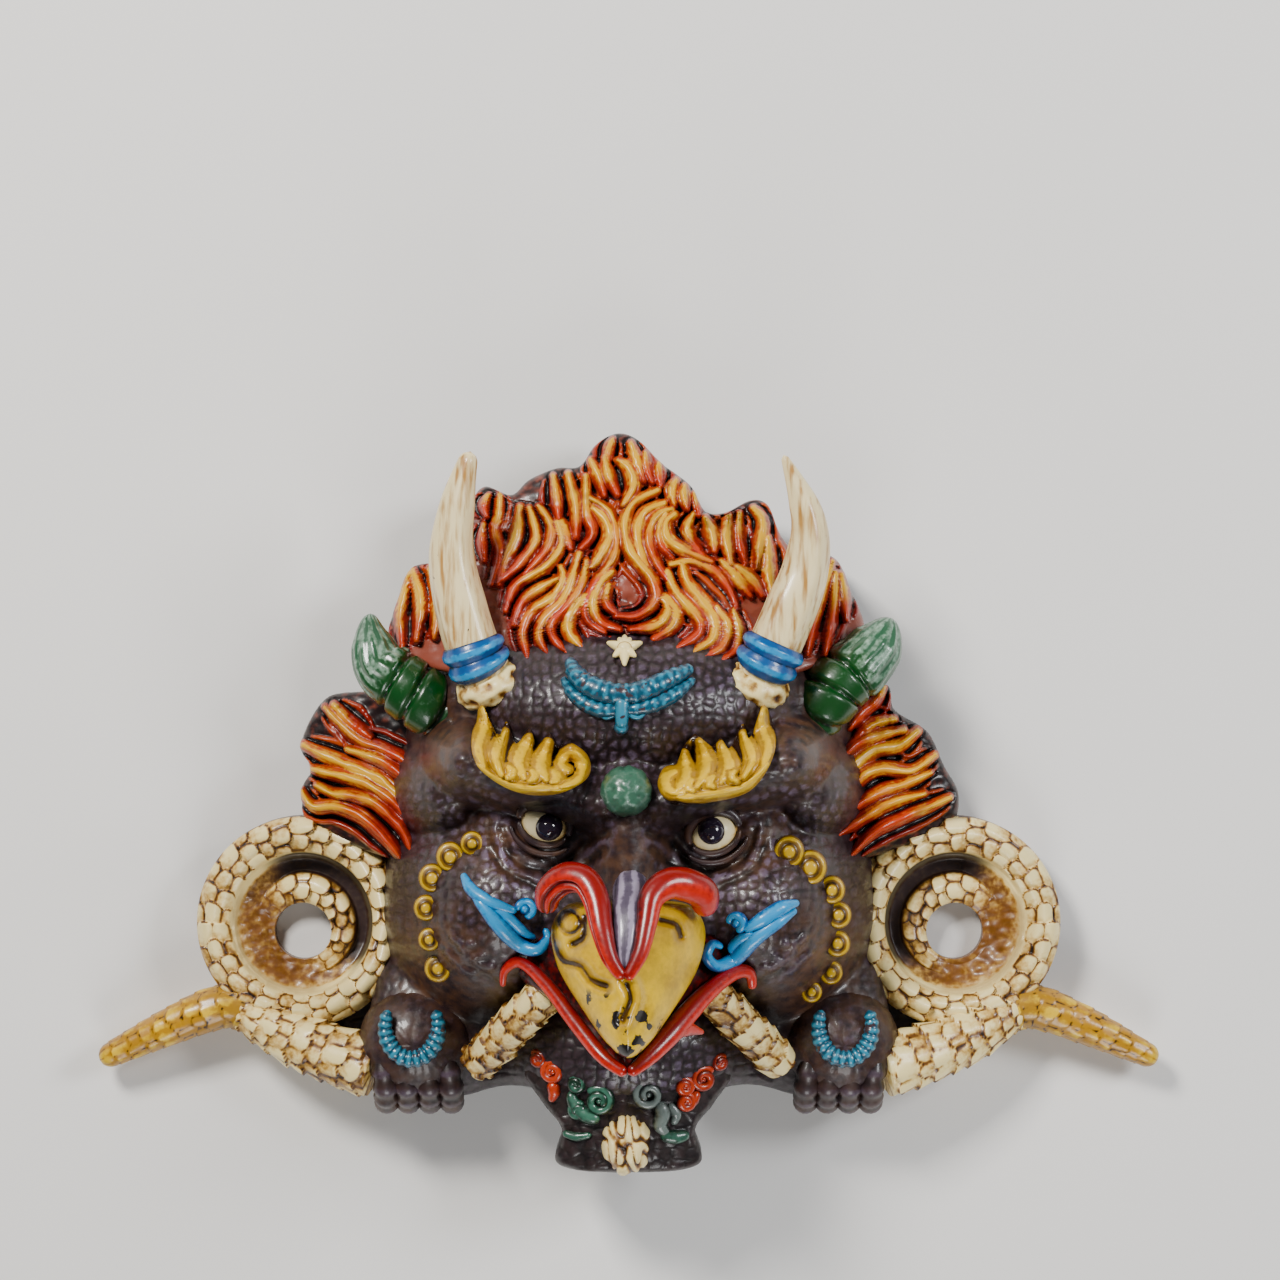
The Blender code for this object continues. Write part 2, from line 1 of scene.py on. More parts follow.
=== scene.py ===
"""A painted cham mask of a horned garuda, one casting that lies on its back.

Shapes are laid out on the carving grid: the mask is 180 units wide, x runs to the viewer's right,
y to the crown and z out of the face. A piece is scaled to the frame when it is placed.
"""
import math

import bpy
import numpy as np
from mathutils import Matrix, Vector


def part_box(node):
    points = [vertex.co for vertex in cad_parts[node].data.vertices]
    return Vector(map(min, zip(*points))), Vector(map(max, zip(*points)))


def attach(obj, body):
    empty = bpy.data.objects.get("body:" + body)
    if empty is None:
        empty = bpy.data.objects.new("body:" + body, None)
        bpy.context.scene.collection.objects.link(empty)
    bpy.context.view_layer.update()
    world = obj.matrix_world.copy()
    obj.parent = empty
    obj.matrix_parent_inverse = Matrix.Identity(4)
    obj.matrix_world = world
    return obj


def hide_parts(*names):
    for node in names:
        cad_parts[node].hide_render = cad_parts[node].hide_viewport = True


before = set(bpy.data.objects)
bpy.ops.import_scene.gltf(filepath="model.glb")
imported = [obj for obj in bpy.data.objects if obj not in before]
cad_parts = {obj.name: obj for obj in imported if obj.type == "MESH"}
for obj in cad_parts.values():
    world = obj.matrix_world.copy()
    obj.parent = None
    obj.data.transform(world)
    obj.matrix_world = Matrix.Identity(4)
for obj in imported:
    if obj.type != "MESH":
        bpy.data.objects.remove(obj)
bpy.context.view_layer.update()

GRID_WIDTH = 180
low_corner, high_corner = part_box("mask")
UNIT = (high_corner[0] - low_corner[0]) / GRID_WIDTH
SIDES = (-1, 1)

# The hollow back: wall, rim, the highest level its roof follows, and the share its sides take
WALL = 4.5
RIM = 6
ROOF_LEVEL = 36
HOLLOW_SIDE = 0.14
# How far round its centre an outline's corners are evened out towards the middle, in radians
SOFTENING = 0.12
# Height of the skin between the face and the coils
COIL_PLATE = 3.5

# Mounds of the face: centre, radii, top height and the drop at one radius
FOREHEAD = (0, 15, 27, 14, 40, 12)
MUZZLE = (0, -20, 14, 12, 42, 9)
JAW = (0, -40, 17, 12, 30, 8)
GROUND = (0, -6, 42, 46, 26, 17)
TEMPLE = (29, 2, 7, 7, 31, 7)
CHEEK = (21, -17, 12, 13, 37, 9)
WRIST = (34, -38, 12, 12, 17, 6)
# Ridges of the face: both ends, radius, top height and the drop at one radius
BROW_RIDGE = ((4, 0), (26, 7), 5, 42, 7)
NOSE_RIDGE = ((0, 2), (0, -14), 7, 41, 9)
EYE_RIDGE = ((9, -5), (20, -5), 6, 33.5, 6)
# How softly these forms melt into each other
BLEND = 1.1
EYE_SPOTS = ((-13.6, -3.2), (13.9, -4.6))
SOCKET_DEPTH = 2.2
SOCKET_REACH = (5, 4)
FACE_CENTRE = (0, -10)
FACE_REACH = 44
FACE_HALF_OUTLINE = (
    (0, 29), (16, 28), (28, 23), (36, 14), (40, 0), (41, -14),
    (42, -28), (44, -41), (39, -48.5), (28, -50), (18, -47.5), (0, -50),
)

CROWN_CENTRE = (0, 35)
CROWN_BACK = 9
# Level at its front, where that is, fall towards the tips and rounding sideways
CROWN_FORM = (30, 27, 0.42, 0.009)
CROWN_OUTLINE = (
    (0, 20), (-22, 20), (-39, 25), (-38, 35), (-35.8, 39), (-31.6, 39.9), (-28.3, 43), (-26.5, 49),
    (-24, 52.3), (-19.5, 50.8), (-16.5, 53.3), (-12, 55.2), (-8.1, 55.5), (-5.5, 59), (-2, 61),
    (1.5, 60), (5.6, 55.9), (10.3, 52.2), (12.6, 48), (16, 47.7), (20.3, 49.8), (23.2, 49),
    (25.3, 44), (28.5, 40.8), (34, 40.5), (36.6, 36), (38.5, 26), (22, 20),
)
# Each lock is a curve in plan, from its root to its tip
CROWN_LOCKS = (
    ((-23.9, 39.7), (-24.3, 43.1), (-24, 45.8)),
    ((-22.5, 35.8), (-21.2, 41.1), (-22.2, 44.6), (-21.5, 47.5), (-21.3, 51.2)),
    ((-23.5, 47.1), (-24, 49), (-23.3, 50.8)),
    ((-21.4, 35.8), (-20.1, 40.2), (-18.5, 44.1), (-18, 48.7)),
    ((-20.8, 36.5), (-17.5, 39.6), (-15.2, 43.5), (-16.4, 48.5)),
    ((-17, 37.5), (-13.3, 41.8), (-12.8, 45.5), (-14.9, 48.8)),
    ((-20.1, 31.4), (-18.3, 35.8), (-13.6, 38.7), (-11, 42.3), (-11.7, 46)),
    ((-18.8, 29), (-17, 33.3), (-11.7, 36.7)),
    ((-11.5, 46.5), (-12, 50.9), (-12.5, 53.8)),
    ((-8.6, 43.5), (-8.7, 48.4), (-10, 54.1)),
    ((-7.8, 41.6), (-5.9, 44.2), (-6.9, 47.9), (-7.1, 53.8)),
    ((-9.5, 41.6), (-10.3, 44.5), (-11.7, 46.9)),
    ((-16.4, 23.7), (-17.3, 28), (-15.9, 31.4), (-12.4, 33.8), (-10.7, 36.7), (-11.1, 38.6)),
    ((-12.9, 24), (-14.5, 27.1), (-13.9, 30), (-11.1, 32.8), (-9.6, 35.7), (-8.1, 40.8)),
    ((-10.1, 24.6), (-12.3, 27.1), (-12.5, 29.5), (-9.7, 32.4), (-7.6, 35.7), (-6.9, 39.6)),
    ((-7.3, 25.2), (-9.7, 28), (-9.5, 30.9), (-7.1, 33.8)),
    ((-3.9, 27.9), (-6.8, 30), (-6.8, 33.3), (-4.9, 36.7), (-2.4, 40.3), (-2, 44), (-3.3, 47.9),
     (-6.4, 50.1)),
    ((-5.9, 38.6), (-4, 41.5), (-3.1, 44.2), (-4, 46.7), (-5.9, 48.4)),
    ((-1.5, 28.3), (-4.5, 29.5), (-5.8, 32.6), (-4.5, 36), (-2.7, 37.7)),
    ((-2, 30.9), (-3.7, 32.8), (-3.2, 35.7)),
    ((-2, 30.5), (1.8, 30.7), (4.5, 33.3), (3.7, 36.7), (0.4, 41.1), (-0.7, 45.4), (0.7, 49.1), (4.8, 51.3)),
    ((4.8, 36), (2.3, 40.1), (1.4, 44.5), (2.8, 47.9), (5.9, 49.2)),
    ((6.4, 36.5), (4, 40.6), (3.4, 44.5), (5, 47.4), (7.2, 48.2)),
    ((7.1, 40.1), (5.4, 42.5), (5.2, 45.4), (6.2, 47.4)),
    ((13.6, 39.5), (9.8, 41.1), (6.7, 43), (6.1, 45.9), (7.6, 47.3)),
    ((12.2, 40.5), (10.5, 42.5), (9.6, 45), (10.6, 47.3)),
    ((17.7, 31.9), (16.5, 35), (14.1, 38.1), (10.5, 39.6), (6.9, 39)),
    ((20.1, 33.8), (17.7, 37.2), (15.3, 39.6)),
    ((22.1, 33.8), (20.2, 36.7), (17.8, 38.7)),
    ((10.4, 24.6), (13.8, 27), (13.9, 30.4), (11.5, 33.8), (9.6, 36.2), (8.7, 39.1)),
    ((8, 25.4), (11.4, 27.6), (11.5, 30), (9.1, 32.8), (7.3, 35.2), (6.4, 37.9)),
    ((12.3, 23.8), (15.5, 25.6), (16.3, 29), (14.4, 32.1)),
    ((14.2, 23), (17.4, 24.7), (18.2, 28), (17.2, 31.4)),
    ((4.2, 26.8), (7.2, 28.9), (7.7, 31.4), (5.9, 33.8)),
    ((0.4, 28.3), (4.7, 29), (6.5, 31.4), (5.7, 33.3)),
    ((16.8, 39.2), (16.2, 43.5), (16.6, 47.1)),
    ((19.3, 39.1), (18.3, 43.6), (18.4, 47.6)),
    ((21.2, 38.5), (21.8, 42.6), (22.2, 46.3), (20.7, 48.5)),
    ((23.6, 33.8), (23.2, 38.7), (23.1, 43.6)),
    ((14.1, 41.3), (13.7, 44.3), (12.7, 46.7)),
    ((-3.8, 55.3), (-3.3, 58.2), (-2.6, 60.1)),
    ((-4, 50.6), (-5, 53.8), (-6.4, 56.5)),
    ((-1.8, 50.6), (-3.4, 54), (-4, 56.8)),
    ((-1, 48.8), (0.8, 52.1), (0.1, 55), (-1.8, 56.4)),
    ((2.5, 53), (1.4, 56.3), (0.4, 59.2)),
    ((3.9, 52.7), (2.9, 55.3), (2.8, 57.7)),
    ((5.3, 52.1), (5, 54.3), (5.1, 56)),
    ((7.6, 48.8), (7.1, 51.3), (7.9, 53.1)),
    ((9.6, 48.3), (9.2, 50.9), (9.3, 52.1)),
    ((11.6, 47.3), (11.5, 49.4), (10.9, 50.9)),
    ((29.3, 24.2), (30.4, 29), (31.9, 33.9), (34, 39.8)),
    ((32.3, 24.2), (33.4, 29), (34.2, 33.9), (34.5, 37.8)),
    ((36.1, 30), (35.9, 33.9), (35.5, 37.6)),
    ((-35, 26.6), (-34.5, 33.2), (-36.3, 38.9)),
    ((-37.3, 24.6), (-38, 31.3), (-36.6, 37.9)),
    ((-32, 27), (-31.6, 33), (-33, 38.6)),
)

TUFT_CENTRE = (42, 3)
# Level at its root, where that is, fall outwards and fall up and down
TUFT_FORM = (17, 32, 0.38, 0.05)
LEFT_TUFT = (
    (-30, 3), (-33, 10), (-36, 17), (-46.5, 17.8), (-51.6, 16.2), (-55.3, 9), (-53.4, 5), (-55, 1.6),
    (-54, -4), (-46, -8), (-38, -10), (-31, -8),
)
RIGHT_TUFT = (
    (30, 3), (33, 10), (38, 17), (43.4, 19), (44.6, 14.9), (50.2, 11.2), (53, 5.6), (55.6, 0.4),
    (54, -5), (46, -8), (38, -10), (31, -8),
)
LEFT_TUFT_LOCKS = (
    ((-31.8, -1.9), (-34.6, 1.9), (-37, 6.2), (-41.6, 8.7), (-44.8, 9.8), (-48.2, 12.6), (-51, 15.4)),
    ((-43, 10.4), (-46.4, 12.6), (-49.4, 15.8)),
    ((-33.6, -1), (-36.4, 3), (-41, 6.4), (-47, 8.4)),
    ((-33.8, -5.7), (-35.3, -2.9), (-38.1, 0.6), (-41.6, 3.4), (-45.8, 5.2), (-49.4, 6.6), (-54.8, 9)),
    ((-35, -5), (-39.4, 0), (-44.6, 3), (-50.5, 4.4), (-54, 5.2)),
    ((-35.9, -8.9), (-37.3, -5.4), (-39.4, -3), (-42.3, -0.5), (-45.8, 0.6), (-49.3, 0.9), (-52.2, 2.3)),
    ((-37.3, -10.7), (-39.4, -7.9), (-42.3, -4.7), (-45.8, -2.2), (-49.3, -1.2), (-52.9, -1.2), (-55, 1.3)),
)
RIGHT_TUFT_LOCKS = (
    ((36.7, 11.9), (39.1, 14.7), (41.2, 16.4), (42.6, 18.8)),
    ((37.4, 9.6), (40.6, 12.4), (44.4, 13.4)),
    ((34, 5.4), (38, 9.4), (42, 10.8), (46, 11.6)),
    ((31.4, -3.7), (33.8, 1.3), (37.4, 5.5), (40.9, 8.3), (45.1, 9), (48.4, 11.4)),
    ((33.5, -5.1), (35.8, -0.6), (38.7, 3.8), (42.3, 5.2), (47.2, 4.8), (51.4, 7.4)),
    ((34.4, -4.4), (37.4, -1.2), (42, 1.3), (46.2, 2.7), (50.6, 4.4)),
    ((34.9, -5.7), (39.1, -3), (43.7, -0.5), (49.4, 0.9)),
    ((37, -9), (40.9, -5.4), (45.1, -3.3), (49.4, -1.6), (53.9, 0.2)),
)

BEARD_CENTRE = (0, -50)
BEARD_BACK = 10
# Level in its middle, climb towards the chin and rounding sideways
BEARD_FORM = (26, 0.15, 0.02)
BEARD_OUTLINE = (
    (0, -37), (-13, -39), (-17.5, -44), (-14, -50), (-11, -54), (-11.5, -60), (0, -61),
    (11.5, -60), (11, -54), (14, -50), (17.5, -44), (13, -39),
)

COIL_CENTRE = (55, -20.8)
COIL_HOLE = (55.1, -22.6)
COIL_HOLE_RADIUS = 4.8
COIL_RADIUS = 17.7
# Where the outer turn begins, the ring that edges it, and the middle lines of both turns
OUTER_START = 11.4
COLLAR_RADIUS = 11.5
OUTER_MIDDLE = 14.9
INNER_MIDDLE = 6.6
# Bearings in degrees, from the coil's outer side upwards: where the outer turn is highest and the bank lies
CLIMB_TOWARDS = 215
BANK_TOWARDS = 320
# Each horn's middle line and radii, from root to tip
HORNS = (
    (((-21.6, 17.6, 28), (-24.8, 23.8, 30.5), (-27.1, 31.2, 31), (-28.8, 40.5, 31), (-27.6, 49.5, 32),
      (-25.6, 57.2, 33)), (4.2, 4.4, 4.2, 3.7, 2.8, 1.3)),
    (((19.8, 17.8, 28), (22.6, 23.2, 30.5), (26.2, 31.2, 31), (28.8, 38.4, 31), (29.2, 46.4, 32),
      (25.2, 56.6, 33)), (4.2, 4.3, 4.2, 3.6, 2.4, 0.5)),
)
# The same for each ear
EARS = {
    "left_ear": (((-29, 13, 19), (-33.3, 16.3, 22), (-38, 20, 22), (-41.2, 23, 21), (-42.5, 27.5, 20.5),
                  (-42.7, 31, 20)), (4.6, 5.3, 5.4, 4.9, 3.5, 0.9)),
    "right_ear": (((28, 13, 19), (31.7, 15.9, 22), (34.6, 19.4, 22), (38.3, 22.5, 21), (41.2, 26, 20.5),
                   (43.6, 30.2, 20)), (4.6, 5.3, 5.4, 5.2, 4.5, 1.7)),
}

BEAK_CENTRE = (0, -25)
# The ridge's level at its root, where that is, its climb and its dip, then the fall of the flanks
BEAK_RIDGE = (51, -13, 0.42, 0.011)
BEAK_FLANK = (0.55, 1.25)
# The lower beak's level at its tip and its fall towards the corners
LOWER_BEAK_FORM = (49, 0.95)
BEAK_HALF_OUTLINE = (
    (0, -15), (5.4, -15.2), (10, -16.2), (12.4, -20), (11.2, -26), (7.4, -32), (3.2, -37.4), (0, -39.4),
)
LOWER_BEAK_HALF_OUTLINE = (
    (0, -20), (13, -21), (18.5, -25.5), (17, -29), (13.5, -31), (8, -36.5), (3.5, -40.5), (0, -42.5),
)

# What the camera sees, in metres, and the width of its sensor in millimetres
VIEW_CENTRE = (0.0019, 0.0266)
VIEW_HEIGHT = 0.715
VIEW_WIDTH = 0.213
FACE_LEVEL = 0.015
SENSOR = 36


def smooth_path(points, step=0.5, closed=False):
    """A Catmull-Rom curve through the points, read at even steps."""
    points = np.array([tuple(p) + (0,) * (3 - len(p)) for p in points], float)
    count = len(points)
    spans = count if closed else count - 1
    dense = []
    for i in range(spans):
        picks = [i + k for k in (-1, 0, 1, 2)]
        picks = [p % count for p in picks] if closed else [min(max(p, 0), spans) for p in picks]
        a, b, c, d = points[picks]
        for t in np.linspace(0, 1, 16, endpoint=False):
            dense.append(0.5 * (2 * b + (c - a) * t + (2 * a - 5 * b + 4 * c - d) * t**2
                                + (3 * b - a - 3 * c + d) * t**3))
    dense.append(points[0] if closed else points[-1])
    dense = np.array(dense)
    reach = np.concatenate([[0], np.cumsum(np.linalg.norm(np.diff(dense, axis=0), axis=1))])
    places = np.linspace(0, reach[-1], max(4, int(reach[-1] / step) + 1))
    return np.stack([np.interp(places, reach, dense[:, k]) for k in range(3)], axis=1)


def mirrored_outline(half):
    """A closed outline from its right half, listed from top to bottom."""
    return [(-x, y) for x, y in half[1:-1]] + list(reversed(half))


def to_side(points, side):
    """Points of the viewer's right side, moved to the given side."""
    return [(side * point[0], *point[1:]) for point in points]


def laid_on(surface, points, lift):
    """Plan points, lifted on to a surface."""
    return [(x, y, surface(x, y) + lift) for x, y in points]


def plan_of(tilt, turn, reach_x, reach_y):
    """Where a place on a ball lies in plan."""
    return reach_x * np.sin(tilt) * np.cos(turn), reach_y * np.sin(tilt) * np.sin(turn)


def ripple(x, y, size, seed=0):
    """A smooth irregular swell between -1 and 1, with bumps of about the given size."""
    total = 0
    for k in range(5):
        turn = seed * 1.7 + k * 2.4
        pace = 2 * math.pi / (size * (1 + 0.23 * k))
        total = total + np.sin(pace * (x * math.cos(turn) + y * math.sin(turn)) + 3.1 * k + seed)
    return total / 5


def scatter(i, j, seed=0):
    """A repeatable irregular value between 0 and 1 for each pair of whole numbers."""
    value = np.sin(i * 127.1 + j * 311.7 + seed * 74.7) * 43758.5453
    return value - np.floor(value)


# Further off than any real distance
FAR = 99.0


def pebbles(x, y, size):
    """Cobbled skin: 1 on each pebble's top, 0 in the grooves between them."""
    cell_x, cell_y = np.floor(x / size), np.floor(y / size)
    nearest = np.full(x.shape, FAR)
    second = np.full(x.shape, FAR)
    for dx in (-1, 0, 1):
        for dy in (-1, 0, 1):
            i, j = cell_x + dx, cell_y + dy
            off_x = i + 0.15 + 0.7 * scatter(i, j, 1) - x / size
            off_y = j + 0.15 + 0.7 * scatter(i, j, 2) - y / size
            gap = np.hypot(off_x, off_y)
            second = np.minimum(second, np.maximum(gap, nearest))
            nearest = np.minimum(nearest, gap)
    return np.sqrt(clamp((second - nearest) * 1.9))


def clamp(value):
    """The value, held between 0 and 1."""
    return np.clip(value, 0, 1)


def bell(value, width):
    """1 where the value is nought, falling off smoothly on both sides."""
    return np.exp(-((value / width) ** 2))


def spot(x, y, centre_x, centre_y, radius):
    """A soft round spot, 1 in its middle."""
    return np.exp(-((x - centre_x) ** 2 + (y - centre_y) ** 2) / radius**2)


def pair_of_spots(x, y, centre_x, centre_y, radius):
    """The same soft spot on both sides."""
    return spot(np.abs(x), y, centre_x, centre_y, radius)


def mound(x, y, form, side=1):
    """Height of a round mound of the face."""
    centre_x, centre_y, radius_x, radius_y, top, drop = form
    return top - drop * (((x - side * centre_x) / radius_x) ** 2 + ((y - centre_y) / radius_y) ** 2)


def segment_gap(x, y, start, end):
    """Distance of every place from a straight piece, and the share along it of the nearest point."""
    (ax, ay), (bx, by) = start[:2], end[:2]
    along = ((x - ax) * (bx - ax) + (y - ay) * (by - ay)) / ((bx - ax) ** 2 + (by - ay) ** 2)
    along = clamp(along)
    return np.hypot(x - ax - along * (bx - ax), y - ay - along * (by - ay)), along


def ridge(x, y, form, side=1):
    """Height of a ridge that runs between two points of the face."""
    start, end, radius, top, drop = form
    gap, _ = segment_gap(x, y, *to_side((start, end), side))
    return top - drop * (gap / radius) ** 2


def face_height(x, y):
    """Height of the face: mounds and ridges melted together, less the eye sockets."""
    heights = [mound(x, y, form) for form in (FOREHEAD, MUZZLE, JAW, GROUND)]
    heights.append(ridge(x, y, NOSE_RIDGE))
    socket = 0
    for side, (eye_x, eye_y) in zip(SIDES, EYE_SPOTS):
        heights += [mound(x, y, form, side) for form in (TEMPLE, CHEEK, WRIST)]
        heights += [ridge(x, y, form, side) for form in (BROW_RIDGE, EYE_RIDGE)]
        off_x, off_y = (x - eye_x) / SOCKET_REACH[0], (y - eye_y) / SOCKET_REACH[1]
        socket = socket + SOCKET_DEPTH * np.exp(-(off_x**2) - off_y**2)
    highest = np.max(heights, axis=0)
    return highest + BLEND * np.log(sum(np.exp((h - highest) / BLEND) for h in heights)) - socket


def crown_height(x, y):
    """The crown leans back from the forehead to its flame tips, and rounds off sideways."""
    level, front, fall, rounding = CROWN_FORM
    return level - fall * (y - front) - rounding * x * x


def tuft_height(x, y):
    """The side hair falls away from the temple."""
    level, root, fall, rounding = TUFT_FORM
    return level - fall * (abs(x) - root) - rounding * abs(y)


def beard_height(x, y):
    """The beard stands a little back from the chin."""
    level, climb, rounding = BEARD_FORM
    return level + climb * (y - BEARD_CENTRE[1]) - rounding * x * x


def beak_height(x, y):
    """The upper beak rises to a middle ridge that dips towards its hooked tip."""
    level, root, climb, dip = BEAK_RIDGE
    fall, power = BEAK_FLANK
    return level + climb * (root - y) - dip * (y - root) ** 2 - fall * np.abs(x) ** power


def lower_beak_height(x):
    """The lower beak's lip climbs from the mouth's corners to its tip."""
    level, fall = LOWER_BEAK_FORM
    return level - fall * np.abs(x)


def path_distance(x, y, path):
    """Distance of every place from a path, and how far along the path its nearest point is."""
    best = np.full(x.shape, FAR)
    share = np.zeros(x.shape)
    last = len(path) - 1
    for i in range(last):
        gap, along = segment_gap(x, y, path[i], path[i + 1])
        closer = gap < best
        best = np.where(closer, gap, best)
        share = np.where(closer, (i + along) / last, share)
    return best, share


# A lock's main body and the faint strand beside it: offset, width and height as shares of the lock's
STRANDS = ((0.0, 1.0, 1.0), (1.75, 0.42, 0.34))


def lock_relief(x, y, locks, width, depth, strands=STRANDS, ground=0.5):
    """Carves flowing locks: height over the ground, ridge share, share along the lock, and its tone.

    The tone is -1 on the ground between the locks. A crease runs along the foot of every lock, carved in and
    darkened as painted shade.
    """
    height = 0.07 * depth * (1 + ripple(x, y, 2.1, 3))
    crest = np.full(x.shape, ground) + 0.2 * ripple(x, y, 1.5, 5)
    along = np.full(x.shape, 0.3)
    tone = np.full(x.shape, -1.0)
    crease = np.zeros(x.shape)
    won = np.zeros(x.shape)
    for number, lock in enumerate(locks):
        path = smooth_path(lock, 0.8)
        chance = float(scatter(number, 3, 5))
        girth = width * (0.85 + 0.35 * chance)
        room = 4 * girth
        inside = ((x > path[:, 0].min() - room) & (x < path[:, 0].max() + room)
                  & (y > path[:, 1].min() - room) & (y < path[:, 1].max() + room))
        gap, share = path_distance(x[inside], y[inside], path)
        gap = gap + 0.16 * ripple(x[inside], y[inside], 3.3, number)
        reach = girth * (0.3 + 0.7 * np.sin(math.pi * clamp(0.1 + 0.78 * share)))
        fade = clamp(np.minimum(share, 1 - share) / 0.06)
        foot = bell(gap / reach - 1.12, 0.2) * (0.4 + 0.6 * fade)
        crease[inside] = np.maximum(crease[inside], foot)
        for start, part, strength in strands:
            off = (gap - start * reach) / (part * reach)
            bulge = clamp(1 - off**2) ** 0.72
            if start:
                bulge = bulge * fade
            groove = 0.1 * bell(np.abs(off) - 0.45, 0.12) * (start == 0)
            rise = depth * strength * (0.66 + 0.34 * float(scatter(number, 8, 2))) * (bulge - groove)
            wins = (rise > height[inside]) & (bulge > 0)
            streak = ripple(gap, 5 * share, 0.7, number)
            rise = rise - 0.05 * depth * streak * bulge
            level = (bulge - 2 * groove) * (0.35 + 0.65 * strength) - 0.16 * streak * bulge
            carved = ((height, rise), (crest, level), (along, share), (tone, chance), (won, bulge * strength))
            for field, value in carved:
                field[inside] = np.where(wins, value, field[inside])
    open_ground = clamp(1 - 1.8 * won)
    # The crease is carved in, and its paint darkened as painted shade where each lock meets the ground.
    height = height - 0.22 * depth * crease * open_ground
    crest = crest - 0.6 * crease * open_ground
    return height, clamp(crest), along, tone


def scale_relief(along, across, length, width, seed):
    """Overlapping fish scales: height share, and 1 on a scale's lip down to 0 in the grooves."""
    height = np.zeros(along.shape)
    lip = np.zeros(along.shape)
    row = np.floor(along / length)
    for step in (-1, 0, 1):
        i = row + step
        shift = 0.5 * np.mod(i, 2)
        column = np.round(across / width - shift)
        jolt = scatter(i, column, seed)
        edge = (i + 1 + 0.3 * (jolt - 0.5)) * length
        middle = (column + shift + 0.16 * (scatter(i, column, seed + 4) - 0.5)) * width
        half = width * (0.52 + 0.12 * jolt)
        tongue = clamp((along - edge + 0.9 * half) / (0.9 * half))
        limit = half * np.sqrt(clamp(1 - tongue**2))
        off = np.abs(across - middle)
        covered = (along < edge) & (off < limit)
        rise = 0.25 + 0.75 * clamp(1 - (edge - along) / (1.5 * length))
        rise = rise * (1 - 0.45 * (off / half) ** 2) * (0.6 + 0.4 * jolt)
        wins = covered & (rise > height)
        height = np.where(wins, rise, height)
        rim = np.minimum(limit - off, edge - along)
        lip = np.where(wins, clamp(rim / 0.55) * (0.76 + 0.24 * jolt), lip)
    return height, lip


def scale_crest(rise, lip):
    """How much of the pale paint a scale takes: most on its raised tip, as painted highlight, and least at
    its root under the scale before, as painted shadow.
    """
    return clamp(lip * (0.3 + 0.75 * rise))


def foot_under(surface, depth):
    """The underside of a slab, at an even depth below its surface."""
    return lambda x, y, share: surface(x, y) - depth


def flat_foot(level):
    """The underside of a slab that ends flat."""
    return lambda x, y, share: level + 0 * x


def disc_grid(count):
    """A square grid bent onto a disc: radius share and angle of each point."""
    line = np.linspace(-1, 1, count)
    u, v = np.meshgrid(line, line)
    wide = np.abs(u) > np.abs(v)
    safe_u, safe_v = np.where(wide, u, 1), np.where(wide | (v == 0), 1, v)
    radius = np.where(wide, u, v)
    turn = np.where(wide, math.pi / 4 * v / safe_u, math.pi / 2 - math.pi / 4 * u / safe_v)
    x, y = radius * np.cos(turn), radius * np.sin(turn)
    return np.hypot(x, y), np.arctan2(y, x)


def grid_faces(rows, columns, closed=False):
    """Four-sided faces between neighbouring rows of points."""
    i, j = np.meshgrid(np.arange(rows - 1), np.arange(columns if closed else columns - 1), indexing="ij")
    n = (j + 1) % columns
    corners = (i * columns + j, i * columns + n, (i + 1) * columns + n, (i + 1) * columns + j)
    return np.stack(corners, axis=-1).reshape(-1, 4)


# How much of a plain rod's pale paint reaches its underside: a plain rod is painted paler on top and darker
# below, as painted light and shade
LOW_CREST = 0.15


